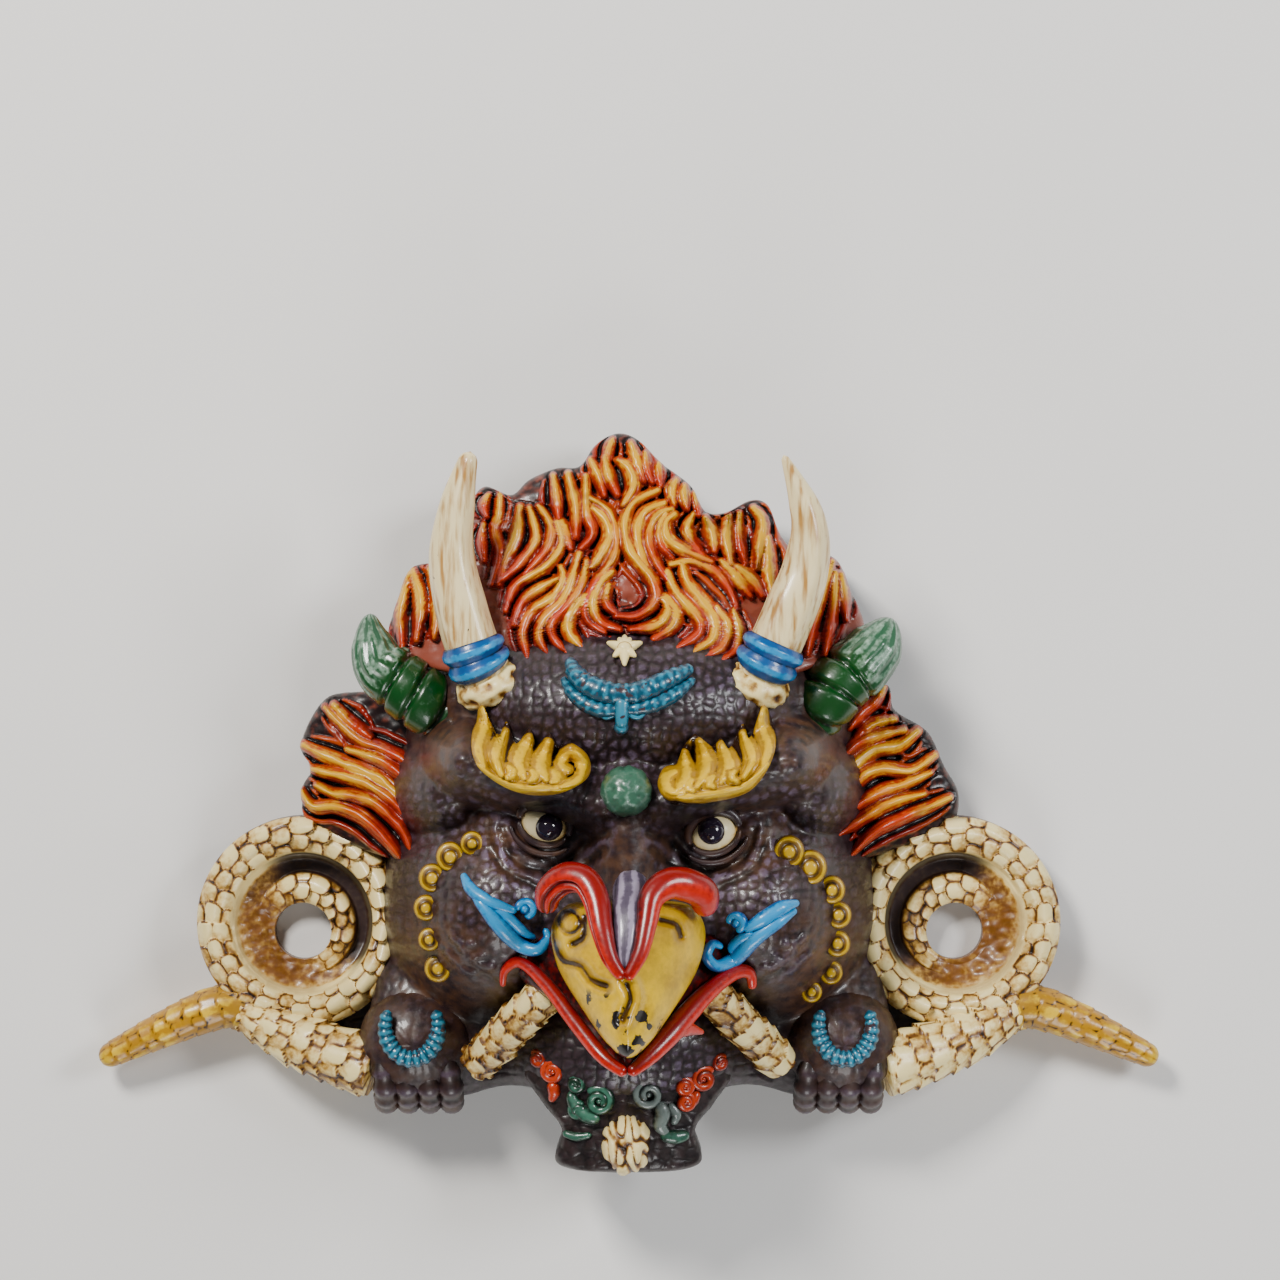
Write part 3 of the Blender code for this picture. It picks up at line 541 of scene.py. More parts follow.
class Piece:
    """A painted piece of the mask, gathered from one or more forms into one mesh."""

    def __init__(self, name, slot, paint):
        self.name, self.slot, self.paint = name, slot, PAINTS[paint]
        self.points, self.faces, self.carving, self.count = [], [], [], 0

    def add(self, points, faces, crest, along, tone):
        """Adds one form: its points, its faces, and what its paint reads at each point.

        That is how high it lies in the carving, how far along the form it is, and a tone of its own.
        """
        total = len(points)
        self.points.append(points)
        for group in faces:
            self.faces += (np.asarray(group) + self.count).tolist()
        fields = (crest, along, tone, 1)
        self.carving.append(np.stack([field + np.zeros(total) for field in fields], axis=1))
        self.count += total

    def slab(self, centre, outline, top, foot, count, lip=1.5, back_rings=6, wall_rings=4):
        """A closed slab over a star-shaped outline, finely carved on top."""
        share, angle = disc_grid(count)
        rim = smooth_path(outline, 0.4, closed=True)[:-1]
        rim_angle = np.unwrap(np.arctan2(rim[:, 1] - centre[1], rim[:, 0] - centre[0]))
        rim_reach = np.hypot(rim[:, 1] - centre[1], rim[:, 0] - centre[0])
        if rim_angle[-1] < rim_angle[0]:
            rim_angle, rim_reach = rim_angle[::-1], rim_reach[::-1]
        rim_angle = np.maximum.accumulate(rim_angle) + 1e-5 * np.arange(len(rim_angle))
        reach = np.interp(angle, rim_angle, rim_reach, period=2 * math.pi)
        soft = np.mean([np.interp(angle + turn, rim_angle, rim_reach, period=2 * math.pi)
                        for turn in np.linspace(-SOFTENING, SOFTENING, 9)], axis=0)
        reach = soft + (reach - soft) * share**8
        x = centre[0] + share * reach * np.cos(angle)
        y = centre[1] + share * reach * np.sin(angle)
        z, crest, along, tone = [field + 0 * x for field in top(x, y)]
        inset = clamp((1 - share) * reach / lip)
        z = z - lip * 0.8 * (1 - np.sqrt(1 - (1 - inset) ** 2))
        loop = np.concatenate([
            np.arange(count), np.arange(1, count) * count + count - 1,
            (count - 1) * count + np.arange(count - 2, -1, -1), np.arange(count - 2, 0, -1) * count,
        ])
        flat = [field.ravel() for field in (x, y, z, crest, along, tone)]
        edge_x, edge_y, edge_z, edge_crest, edge_along, edge_tone = [field[loop] for field in flat]
        rows = [np.stack(flat[:3], axis=1)]
        tints = [np.stack(flat[3:], axis=1)]
        edge_tint = np.stack([edge_crest, edge_along, edge_tone], axis=1)
        depth = edge_z - foot(edge_x, edge_y, np.ones(len(loop)))
        # Painted shade: the walls darken towards their foot, and the back and its middle take a low crest.
        for step in range(1, wall_rings + 1):
            rows.append(np.stack([edge_x, edge_y, edge_z - depth * step / wall_rings], axis=1))
            tints.append(edge_tint * (0.75 - 0.6 * min(1, 2 * step / wall_rings), 1, 1))
        for step in range(1, back_rings):
            part = 1 - step / back_rings
            back_x = centre[0] + part * (edge_x - centre[0])
            back_y = centre[1] + part * (edge_y - centre[1])
            rows.append(np.stack([back_x, back_y, foot(back_x, back_y, np.full(len(loop), part))], axis=1))
            tints.append(edge_tint * (0.3, 1, 1))
        hub_height = foot(np.array(centre[:1]), np.array(centre[1:2]), np.zeros(1))[0]
        rows.append(np.array([[centre[0], centre[1], float(hub_height)]]))
        tints.append(np.array([[0.3, 0.5, 0.5]]))
        ring, start = len(loop), count * count
        first = np.stack([loop, start + np.arange(ring)], axis=1)
        following = np.roll(first, -1, axis=0)
        band = np.stack([first[:, 1], following[:, 1], following[:, 0], first[:, 0]], axis=1)
        faces = [grid_faces(count, count), band]
        total = wall_rings + back_rings - 1
        faces.append(grid_faces(total, ring, closed=True)[:, ::-1] + start)
        last = start + (total - 1) * ring + np.arange(ring)
        middle = np.full(ring, start + total * ring)
        faces.append(np.stack([last, middle, np.roll(last, -1)], axis=1))
        self.add(np.concatenate(rows), faces, *np.concatenate(tints).T)

    def tube(self, points, radii, sides, step, height=1.0, carve=None, tone=0.5, round_ends=True):
        """A rod along a path, with tapering radii, rounded ends and an optional carved surface."""
        path = smooth_path(points, step)
        count = len(path)
        tangent = np.gradient(path, axis=0)
        tangent /= np.linalg.norm(tangent, axis=1)[:, None]
        gaps = np.linalg.norm(np.diff(path, axis=0), axis=1)
        travel = np.concatenate([[0], np.cumsum(gaps)])
        share = travel / travel[-1]
        radius = np.interp(share, np.linspace(0, 1, len(radii)), radii)
        if round_ends:
            for reach in (travel, travel[-1] - travel):
                ease = clamp(reach / np.maximum(radius, 1e-6))
                radius = radius * np.sqrt(np.clip(1 - (1 - ease) ** 2, 0.0025, 1))
        across = np.cross(tangent[0], (0.0, 0.0, 1.0))
        if np.linalg.norm(across) < 0.2:
            across = np.array((1.0, 0.0, 0.0))
        frames = []
        for direction in tangent:
            across = across - direction * across.dot(direction)
            across = across / np.linalg.norm(across)
            frames.append((across, np.cross(across, direction)))
        side_way = np.array([f[0] for f in frames])
        up_way = np.array([f[1] for f in frames])
        up_way = up_way * np.where(up_way[:, 2:3].sum() < 0, -1, 1)
        turn = 2 * math.pi * np.arange(sides) / sides
        reach, angle = np.meshgrid(travel, turn, indexing="ij")
        # Unless carved, a rod's crest follows its top side: painted light on top, painted shade underneath.
        swell, crest = np.zeros(reach.shape), LOW_CREST + (1 - LOW_CREST) * (0.5 + 0.5 * np.sin(angle))
        if carve:
            swell, crest = carve(reach, angle, radius[:, None] + 0 * reach, share[:, None] + 0 * reach)
        full = np.maximum(radius[:, None] + swell, 0.05)
        sideways = np.cos(angle)[..., None] * side_way[:, None, :]
        upwards = height * np.sin(angle)[..., None] * up_way[:, None, :]
        rows = path[:, None, :] + full[..., None] * (sideways + upwards)
        points_all = np.concatenate([rows.reshape(-1, 3), path[:1], path[-1:]])
        faces = [grid_faces(count, sides, closed=True)]
        ring = np.arange(sides)
        end = (count - 1) * sides + ring
        start_hub, end_hub = np.full(sides, count * sides), np.full(sides, count * sides + 1)
        faces.append(np.stack([np.roll(ring, -1), ring, start_hub], axis=1))
        faces.append(np.stack([end, np.roll(end, -1), end_hub], axis=1))
        crest_all = np.concatenate([crest.ravel(), [0.5, 0.5]])
        along_all = np.concatenate([np.repeat(share, sides), [0, 1]])
        self.add(points_all, faces, crest_all, along_all, tone)

    def ball(self, centre, radii, rings=16, carve=None, tone=0.5, lean=0):
        """A rounded lump with an optional carved surface."""
        tilts = np.linspace(0, math.pi, rings + 1)[1:-1]
        turns = 2 * math.pi * np.arange(2 * rings) / (2 * rings)
        tilt, turn = np.meshgrid(tilts, turns, indexing="ij")
        # Unless carved, a lump's crest is highest on top and falls down its sides: painted light on top,
        # painted shade below.
        swell, crest = np.zeros(tilt.shape), 0.15 + 0.85 * clamp(np.cos(tilt))
        if carve:
            swell, crest = carve(tilt, turn)
        x = (radii[0] + swell) * np.sin(tilt) * np.cos(turn)
        y = (radii[1] + swell) * np.sin(tilt) * np.sin(turn)
        z = (radii[2] + swell) * np.cos(tilt)
        x, y = x * math.cos(lean) - y * math.sin(lean), x * math.sin(lean) + y * math.cos(lean)
        points = np.stack([x, y, z], axis=-1).reshape(-1, 3)
        top = np.array([[0, 0, radii[2] + float(swell[0].mean())]])
        bottom = np.array([[0, 0, -radii[2]]])
        points = np.concatenate([points, top, bottom]) + np.array(centre, float)
        wide, tall = 2 * rings, rings - 1
        ring = np.arange(wide)
        last = (tall - 1) * wide + ring
        faces = [grid_faces(tall, wide, closed=True)[:, ::-1]]
        faces.append(np.stack([ring, np.roll(ring, -1), np.full(wide, tall * wide)], axis=1))
        faces.append(np.stack([np.roll(last, -1), last, np.full(wide, tall * wide + 1)], axis=1))
        self.add(points, faces, np.concatenate([crest.ravel(), [float(crest[0].mean()), 0]]), 0.5, tone)

    def place(self):
        """Builds the mesh at its real size and hands it to the frame."""
        mesh = bpy.data.meshes.new(self.name)
        points = np.concatenate(self.points) * UNIT
        mesh.from_pydata(points.tolist(), [], self.faces)
        carving = mesh.attributes.new("carving", "FLOAT_COLOR", "POINT")
        carving.data.foreach_set("color", np.concatenate(self.carving).astype(np.float32).ravel())
        mesh.shade_smooth()
        mesh.materials.append(self.paint)
        made = bpy.data.objects.new(self.name, mesh)
        bpy.context.scene.collection.objects.link(made)
        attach(made, "root")
        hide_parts("mask")
        return made


def tint(code):
    """A linear colour from the six-digit code that a paint chart gives."""
    values = [int(code[k:k + 2], 16) / 255 for k in (0, 2, 4)]
    return [v / 12.92 if v <= 0.04045 else ((v + 0.055) / 1.055) ** 2.4 for v in values] + [1]


class Shader:
    """A material being wired up, node by node."""

    def __init__(self, name, roughness, coat):
        self.material = bpy.data.materials.new(name)
        self.material.use_nodes = True
        self.tree = self.material.node_tree
        self.surface = self.tree.nodes["Principled BSDF"]
        self.surface.inputs["Roughness"].default_value = roughness
        self.surface.inputs["Coat Weight"].default_value = coat
        self.surface.inputs["Coat Roughness"].default_value = 0.12
        self.place = self.node("ShaderNodeTexCoord").outputs["Object"]
        carving = self.node("ShaderNodeAttribute")
        carving.attribute_name = "carving"
        split = self.node("ShaderNodeSeparateColor")
        self.link(carving.outputs["Color"], split.inputs[0])
        self.crest, self.along, self.tone = split.outputs

    def node(self, kind, **settings):
        made = self.tree.nodes.new(kind)
        for key, value in settings.items():
            setattr(made, key, value)
        return made

    def link(self, source, target):
        self.tree.links.new(source, target)

    def put(self, target, value):
        """Wires an output to a socket, or sets a plain value on it."""
        if isinstance(value, bpy.types.NodeSocket):
            self.link(value, target)
        else:
            target.default_value = value

    def noise(self, size, detail, stretch=(1, 1, 1)):
        """Irregular values about 0.5, with bumps of about the given size in units."""
        mapping = self.node("ShaderNodeMapping")
        mapping.inputs["Scale"].default_value = [1 / (size * UNIT * s) for s in stretch]
        self.link(self.place, mapping.inputs["Vector"])
        made = self.node("ShaderNodeTexNoise")
        made.inputs["Scale"].default_value = 1
        made.inputs["Detail"].default_value = detail
        self.link(mapping.outputs[0], made.inputs["Vector"])
        return made.outputs["Fac"]

    def maths(self, operation, a, b=0.0, clamp=False):
        made = self.node("ShaderNodeMath", operation=operation, use_clamp=clamp)
        self.put(made.inputs[0], a)
        self.put(made.inputs[1], b)
        return made.outputs[0]

    def plus(self, a, b, clamp=False):
        return self.maths("ADD", a, b, clamp)

    def times(self, a, b):
        return self.maths("MULTIPLY", a, b)

    def sway(self, value, noise, amount):
        """A value that wanders up and down with a noise."""
        return self.plus(value, self.times(self.maths("SUBTRACT", noise, 0.5), amount))

    def fade(self, value, start, end):
        """0 below start and 1 above end, with a soft step between."""
        made = self.node("ShaderNodeMapRange", interpolation_type="SMOOTHSTEP")
        self.put(made.inputs["Value"], value)
        made.inputs["From Min"].default_value = start
        made.inputs["From Max"].default_value = end
        return made.outputs["Result"]

    def mix(self, share, under, over):
        """One colour laid over another by a share. A plain colour is given as its code."""
        made = self.node("ShaderNodeMix", data_type="RGBA")
        self.put(made.inputs["Factor"], share)
        for socket, colour in ((made.inputs[6], under), (made.inputs[7], over)):
            self.put(socket, tint(colour) if isinstance(colour, str) else colour)
        return made.outputs[2]

    def bump(self, height, strength, distance):
        made = self.node("ShaderNodeBump")
        made.inputs["Strength"].default_value = strength
        made.inputs["Distance"].default_value = distance * UNIT
        self.link(height, made.inputs["Height"])
        self.link(made.outputs[0], self.surface.inputs["Normal"])

    def finish(self, colour, shine=None):
        self.put(self.surface.inputs["Base Color"], colour)
        if shine is not None:
            self.put(self.surface.inputs["Roughness"], shine)
        return self.material


def brush_paint(name, groove, body, crest, start, full, light, coat=0.4, tip=None, tip_from=0, tip_to=1,
                worn=None, wear=1):
    """Paint laid on with a brush, dark in the grooves and paler on the ridges: the dark is wash and painted
    shade, the pale is dry-brush and painted highlight.

    The body sets in from start to full, and the crest from light upwards. A tip colour can take over
    along the piece, and a worn undercoat can show in patches.
    """
    shader = Shader(name, 0.32, coat)
    broad, fine = shader.noise(5, 4), shader.noise(0.9, 5)
    level = shader.sway(shader.crest, fine, 0.55)
    if tip:
        turn = shader.sway(shader.along, broad, 0.7)
        body = shader.mix(shader.fade(turn, tip_from, tip_to), body, tip)
    colour = shader.mix(shader.fade(level, start, full), groove, body)
    colour = shader.mix(shader.fade(level, light, light + 0.3), colour, crest)
    shade = shader.fade(broad, 0.25, 0.8)
    colour = shader.mix(shader.times(shade, 0.22), colour, groove)
    if worn:
        patches = shader.noise(1.7, 6)
        colour = shader.mix(shader.fade(patches, wear, wear + 0.04), colour, worn)
    shader.bump(fine, 0.35, 0.12)
    shine = shader.plus(0.24, shader.times(broad, 0.2))
    return shader.finish(colour, shine)


def skin_paint():
    """Dark purple-brown skin: ochre patina round the eyes, and lilac-grey on the pebbles' tops, part
    dry-brush and part painted highlight.
    """
    shader = Shader("dark_skin_paint", 0.4, 0.22)
    broad, fine, grain = shader.noise(7, 4), shader.noise(0.7, 5), shader.noise(2.2, 5)
    level = shader.sway(shader.crest, fine, 0.6)
    base = shader.mix(shader.fade(level, 0.15, 0.75), "0c0607", "291a1e")
    ochre = shader.times(shader.along, shader.fade(grain, 0.28, 0.7))
    base = shader.mix(shader.times(ochre, 0.8), base, "5c3a20")
    # Lilac-grey on the pebbles' tops where the tone marks it: dry-brush and painted highlight.
    lilac = shader.times(shader.tone, shader.fade(level, 0.62, 1.05))
    lilac = shader.times(lilac, shader.fade(broad, 0.3, 0.62))
    colour = shader.mix(shader.times(lilac, 0.85), base, "7a6a84")
    shader.bump(fine, 0.4, 0.12)
    shine = shader.plus(0.3, shader.times(grain, 0.3))
    return shader.finish(colour, shine)


def flame_paint():
    """Flames: creases darkened as painted shade, red to orange bodies and gold crests, rosy brown flats
    between the locks.
    """
    shader = Shader("flame_paint", 0.32, 0.2)
    broad, fine = shader.noise(6, 4), shader.noise(0.8, 5)
    level = shader.sway(shader.crest, fine, 0.45)
    gold = shader.plus(shader.times(shader.along, 0.75), shader.times(shader.tone, 0.5))
    gold = shader.sway(gold, broad, 0.9)
    flank = shader.mix(shader.fade(gold, 0.4, 1.0), "8a1400", "b04200")
    ridge_colour = shader.mix(shader.fade(gold, 0.3, 0.75), "c03400", "e0a800")
    # Near-black where the level is lowest, in the creases: painted shade.
    colour = shader.mix(shader.fade(level, 0.1, 0.4), "150708", flank)
    colour = shader.mix(shader.fade(level, 0.6, 0.88), colour, ridge_colour)
    flat = shader.mix(shader.fade(level, 0.1, 0.5), "1a090a", "8a4230")
    colour = shader.mix(shader.fade(shader.tone, -0.3, -0.7), colour, flat)
    rosy = shader.times(shader.fade(shader.noise(3.4, 5), 0.58, 0.7), 0.4)
    colour = shader.mix(rosy, colour, "5c2a22")
    shader.bump(fine, 0.35, 0.12)
    shine = shader.plus(0.24, shader.times(broad, 0.25))
    return shader.finish(colour, shine)


def ivory_paint(name="ivory_paint", groove="180a03", wash_and_shade="6b4008", body="cca04a", pale="fbe6a0"):
    """Ivory over brown: a dark brown, part washed-in paint and part painted shade, stays between the scales
    and fades over the crests, where the palest ivory is partly painted highlight.
    """
    shader = Shader(name, 0.42, 0.2)
    broad, fine = shader.noise(8, 4), shader.noise(0.9, 6)
    level = shader.sway(shader.crest, fine, 0.5)
    level = shader.sway(level, broad, -0.5)
    colour = shader.mix(shader.fade(level, 0.05, 0.3), groove, wash_and_shade)
    colour = shader.mix(shader.fade(level, 0.28, 0.55), colour, body)
    colour = shader.mix(shader.fade(level, 0.42, 0.72), colour, pale)
    # Painted shade: where the tone is high, in a coil's recess, the ivory is laid over with near-black.
    recess = shader.times(shader.fade(shader.tone, 0.6, 0.9), 0.92)
    colour = shader.mix(recess, colour, "22151a")
    gilt = shader.fade(shader.tone, 0.45, 0.15)
    colour = shader.mix(shader.times(gilt, 0.6), colour, "7c4a0c")
    shader.bump(fine, 0.4, 0.12)
    shine = shader.plus(0.3, shader.times(fine, 0.25))
    return shader.finish(colour, shine)


def horn_paint():
    """Bone-white horns with long streaks and a few dark nicks, and a brown underside that is painted shade.
    """
    shader = Shader("horn_paint", 0.34, 0.35)
    streaks, broad = shader.noise(1.1, 5, (1, 9, 1)), shader.noise(6, 4)
    nicks = shader.noise(1.3, 6, (0.6, 1.6, 1))
    colour = shader.mix(shader.fade(streaks, 0.3, 0.56), "b07f3c", "f3dfa8")
    colour = shader.mix(shader.times(shader.fade(broad, 0.5, 0.85), 0.4), colour, "c39a54")
    # Painted shade: the underside, where the crest is low, turns brown.
    colour = shader.mix(shader.times(shader.fade(shader.crest, 0.5, 0.1), 0.8), colour, "6b4a2a")
    colour = shader.mix(shader.fade(nicks, 0.7, 0.73), colour, "2a1d16")
    shader.bump(streaks, 0.3, 0.15)
    return shader.finish(colour, shader.plus(0.22, shader.times(streaks, 0.25)))


def beak_paint():
    """Lemon-yellow beak, brown in its folds, chipped to black near the tip."""
    shader = Shader("beak_paint", 0.34, 0.15)
    broad, fine = shader.noise(5, 4), shader.noise(1.0, 5)
    level = shader.sway(shader.crest, fine, 0.4)
    colour = shader.mix(shader.fade(level, 0.1, 0.4), "2e1a03", "b48c00")
    colour = shader.mix(shader.fade(level, 0.5, 0.9), colour, "eabe00")
    colour = shader.mix(shader.times(shader.fade(broad, 0.5, 0.8), 0.3), colour, "8a5c00")
    chips = shader.plus(shader.noise(3.4, 4), shader.times(shader.along, 0.1))
    chips = shader.times(shader.fade(chips, 0.67, 0.7), shader.fade(shader.along, 0.15, 0.4))
    flaked = shader.sway(shader.tone, shader.noise(1.2, 5), 1.2)
    chips = shader.plus(chips, shader.fade(flaked, 0.52, 0.6), True)
    colour = shader.mix(chips, colour, "120b08")
    shader.bump(fine, 0.35, 0.12)
    return shader.finish(colour, shader.plus(0.2, shader.times(broad, 0.25)))


def iris_paint():
    """High-gloss dark paint with a faint cloudiness."""
    shader = Shader("iris_paint", 0.08, 0.8)
    colour = shader.mix(shader.noise(1.4, 3), "0a060e", "2c2033")
    shader.bump(shader.noise(0.8, 3), 0.08, 0.05)
    return shader.finish(colour)


# Brushed paints: their groove, body and crest colours, and how each is laid on
BRUSHED = {
    "gold": ("200e02", "7a5600", "d2a800", dict(start=0.1, full=0.42, light=0.6, coat=0.2)),
    "yellow": ("2c1402", "ae8000", "ecbe00", dict(start=0.2, full=0.55, light=0.66, coat=0.1)),
    "red": ("1c0202", "8a0300", "cc1a00", dict(start=0.05, full=0.4, light=0.66, coat=0.3)),
    "orange": ("1c0402", "7c1200", "c83806", dict(start=0.1, full=0.45, light=0.7)),
    "lilac": ("1c1220", "544a5c", "9c90a6", dict(start=0.1, full=0.5, light=0.62)),
    "dusk": ("0c0a0e", "26302c", "74807a", dict(start=0.15, full=0.5, light=0.7)),
    "blue": ("031828", "004f92", "1c98d6", dict(start=0.1, full=0.45, light=0.66, coat=0.35)),
    "teal": ("03131c", "0a4a62", "2c86a2", dict(start=0.15, full=0.5, light=0.68, worn="3a2a30", wear=0.6)),
    "jewel": ("14281f", "3a6650", "86aa98", dict(start=0.1, full=0.5, light=0.6)),
    "green_curl": ("020604", "082a1a", "3a6a56", dict(start=0.1, full=0.5, light=0.75)),
    "green": ("010602", "01410f", "98b8a0",
              dict(tip="2e5e40", tip_from=0.5, tip_to=0.75, start=0.12, full=0.5, light=0.86, coat=0.5)),
    "tail": ("2a1202", "a47818", "e6bc20",
             dict(tip="b48000", tip_from=0.2, tip_to=0.5, start=0.08, full=0.42, light=0.55, coat=0.15)),
}
PAINTS = {}


def make_paints():
    """Every paint on the mask, by name."""
    for name, (groove, body, crest, laid) in BRUSHED.items():
        PAINTS[name] = brush_paint(name + "_paint", groove, body, crest, **laid)
    PAINTS["skin"] = skin_paint()
    PAINTS["flame"] = flame_paint()
    PAINTS["ivory"] = ivory_paint()
    PAINTS["horn"] = horn_paint()
    PAINTS["beak"] = beak_paint()
    PAINTS["eye"] = ivory_paint("eyeball_paint", "5a3a12", "b98d45", "e2c684", "f2e2b0")
    PAINTS["iris"] = iris_paint()


# Folds of the skin round the eyes, beside the nose and on the cheeks: depth and line, alike on both sides
CREASES = (
    (0.5, ((20.6, -4), (18.6, -9), (13.6, -10.8), (9, -8.6))),
    (0.35, ((22.6, -3), (21, -9.6), (15, -13.2))),
    (0.5, ((4, -7), (7, -9.6), (13.2, -11.6))),
    (0.4, ((3.4, -4.4), (8, -7.4), (10, -10.4))),
    (0.5, ((24.6, 1.4), (19, -0.6), (11, 0.6))),
    (0.4, ((25, -27), (20, -30), (16, -34))),
)
# Where the small raised feathers of the cheeks begin
CHEEK_FEATHERS = ((25.6, -22.6), (24, -24.6), (22.2, -26.4), (26.6, -25.4), (24.8, -27.4))

# Where the skin is smooth, stained with ochre, and given lilac dry-brush and painted highlight: side, up and
# radius
SMOOTH_SKIN = ((14, -6, 6), (31, 12, 6), (30, -35, 9))
OCHRE_SKIN = ((30, 11, 8), (21, -6, 7), (30, -24, 8), (33, -33, 6), (14, -29, 6))
LILAC_HIGHLIGHT_SKIN = ((19, -12, 8), (29, 1, 6), (20, 16, 8))


def skin_top(x, y):
    """The face's carved skin: form, creases, comb marks and pebbles."""
    z = face_height(x, y)
    side_x = np.abs(x)
    crest = np.full(x.shape, 0.55)
    for depth, line in CREASES:
        gap, _ = path_distance(side_x, y, smooth_path(line, 1.0))
        cut = bell(gap, 0.55)
        fold = bell(gap - 1.3, 0.7)
        z = z - depth * cut + 0.35 * depth * fold
        crest = crest - 0.5 * cut + 0.2 * fold
    for feather_x, feather_y in CHEEK_FEATHERS:
        quill = ((feather_x, feather_y), (feather_x + 1.6, feather_y - 0.2), (feather_x + 3, feather_y + 1))
        gap, _ = path_distance(side_x, y, smooth_path(quill, 0.5))
        bump = clamp(1 - (gap / 0.75) ** 2) ** 0.6
        z = z + 0.6 * bump
        crest = crest + 0.3 * bump
    smooth = spot(x, y, 0, -8, 6) + sum(pair_of_spots(x, y, *place) for place in SMOOTH_SKIN)
    rough = np.clip(1 - smooth, 0.12, 1)
    cobbles = pebbles(x + 0.3 * ripple(x, y, 5, 1), y + 0.3 * ripple(x, y, 5, 2), 1.75)
    z = z + 0.26 * rough * (cobbles - 0.55) + 0.14 * ripple(x, y, 3.1, 6)
    crest = crest + rough * 0.6 * (cobbles - 0.55)
    patina = spot(x, y, 0, -9, 8) + sum(pair_of_spots(x, y, *place) for place in OCHRE_SKIN)
    # Lilac dry-brush and painted highlight: over the forehead, the chin and the marked places on both sides.
    lilac_and_highlight = 0.25 + spot(x, y, 1, 12, 12) + spot(x, y, 6, -46, 8)
    lilac_and_highlight = lilac_and_highlight + sum(pair_of_spots(x, y, *place) for place in LILAC_HIGHLIGHT_SKIN)
    return z, clamp(crest), clamp(patina), clamp(lilac_and_highlight)


def build_face():
    """The face's skin with its side walls, flat rim and hollow back, in one closed mesh."""
    outline = mirrored_outline(FACE_HALF_OUTLINE)
    face = Piece("face_skin", "dark_skin", "skin")
    inner = 1 - RIM / FACE_REACH

    def foot(x, y, share):
        deep = np.minimum(face_height(x, y), ROOF_LEVEL) - WALL
        opened = clamp((inner - share) / HOLLOW_SIDE)
        return np.maximum(deep * np.sqrt(1 - (1 - opened) ** 2), 0) * (share < inner)

    face.slab(FACE_CENTRE, outline, skin_top, foot, count=260, lip=3, back_rings=15, wall_rings=7)
    face.place()


EYE_LEVEL = 32.9
# Upper lid, lower lid and the fold under it: reach across and up, first and last angle and height of the
# loop, then its radii, sides and step
EYELIDS = (
    ((4.3, 3.5, -10, 190, 34.3), (0.5, 0.95, 1.15, 0.95, 0.5), 14, 0.35),
    ((4.2, 3.3, 195, 345, 33.9), (0.35, 0.6, 0.65, 0.6, 0.35), 12, 0.35),
    ((5.7, 4.8, 205, 330, 33.0), (0.3, 0.55, 0.6, 0.55, 0.3), 12, 0.4),
)


def eye_path(eye, lean, reach_x, reach_y, first, last, level):
    """Part of a leaning oval loop round an eye, from the first to the last angle in degrees."""
    points = []
    for turn in np.radians(np.linspace(first, last, 9)):
        u, v = reach_x * math.cos(turn), reach_y * math.sin(turn)
        x = eye[0] + u * math.cos(lean) - v * math.sin(lean)
        y = eye[1] + u * math.sin(lean) + v * math.cos(lean)
        points.append((x, y, level))
    return points


def build_eyes():
    """Ivory eyeballs with bulging dark irises, set between creased lids."""
    whites = Piece("eyeballs", "ivory_paint", "eye")
    irises = Piece("irises", "eye_black", "iris")
    lids = Piece("eyelids", "dark_skin", "skin")
    for side, eye, iris in zip(SIDES, EYE_SPOTS, ((0.7, -0.4), (-0.4, 0.3))):
        lean = side * math.radians(20)
        whites.ball((*eye, EYE_LEVEL), (3.9, 3.0, 3.2), rings=20, tone=0.5, lean=lean)
        irises.ball((eye[0] + iris[0], eye[1] + iris[1], EYE_LEVEL + 1.7), (2.35, 2.3, 2.6), rings=18)
        for loop, radii, sides, step in EYELIDS:
            lids.tube(eye_path(eye, lean, *loop), radii, sides, step, tone=0)
    for piece in (whites, irises, lids):
        piece.place()


BROW_CENTRE = (18.5, 4.65)
BROW_LIFT = 1.7
LEFT_BROW = (
    (-23.8, 16.8), (-25.2, 11.2), (-23.8, 6.2), (-18.1, 2.4), (-11.8, 1.9), (-6.6, 4.4), (-6.4, 7.8),
    (-9.2, 10.1), (-11.2, 9.4), (-12.8, 11.6), (-14.7, 9.4), (-15.9, 12.3), (-18.1, 9.9), (-19.7, 13.5),
    (-21.2, 11.0),
)
RIGHT_BROW = (
    (22.0, 16.4), (23.8, 11.2), (22.5, 6.4), (19.2, 2.3), (13.6, 0.7), (7.4, 0.2), (4.8, 3.0), (5.6, 5.9),
    (7.8, 6.9), (9.0, 9.6), (11.4, 11.8), (13.4, 9.4), (15.1, 11.0), (16.3, 9.1), (18.5, 13.1), (19.7, 10.6),
)
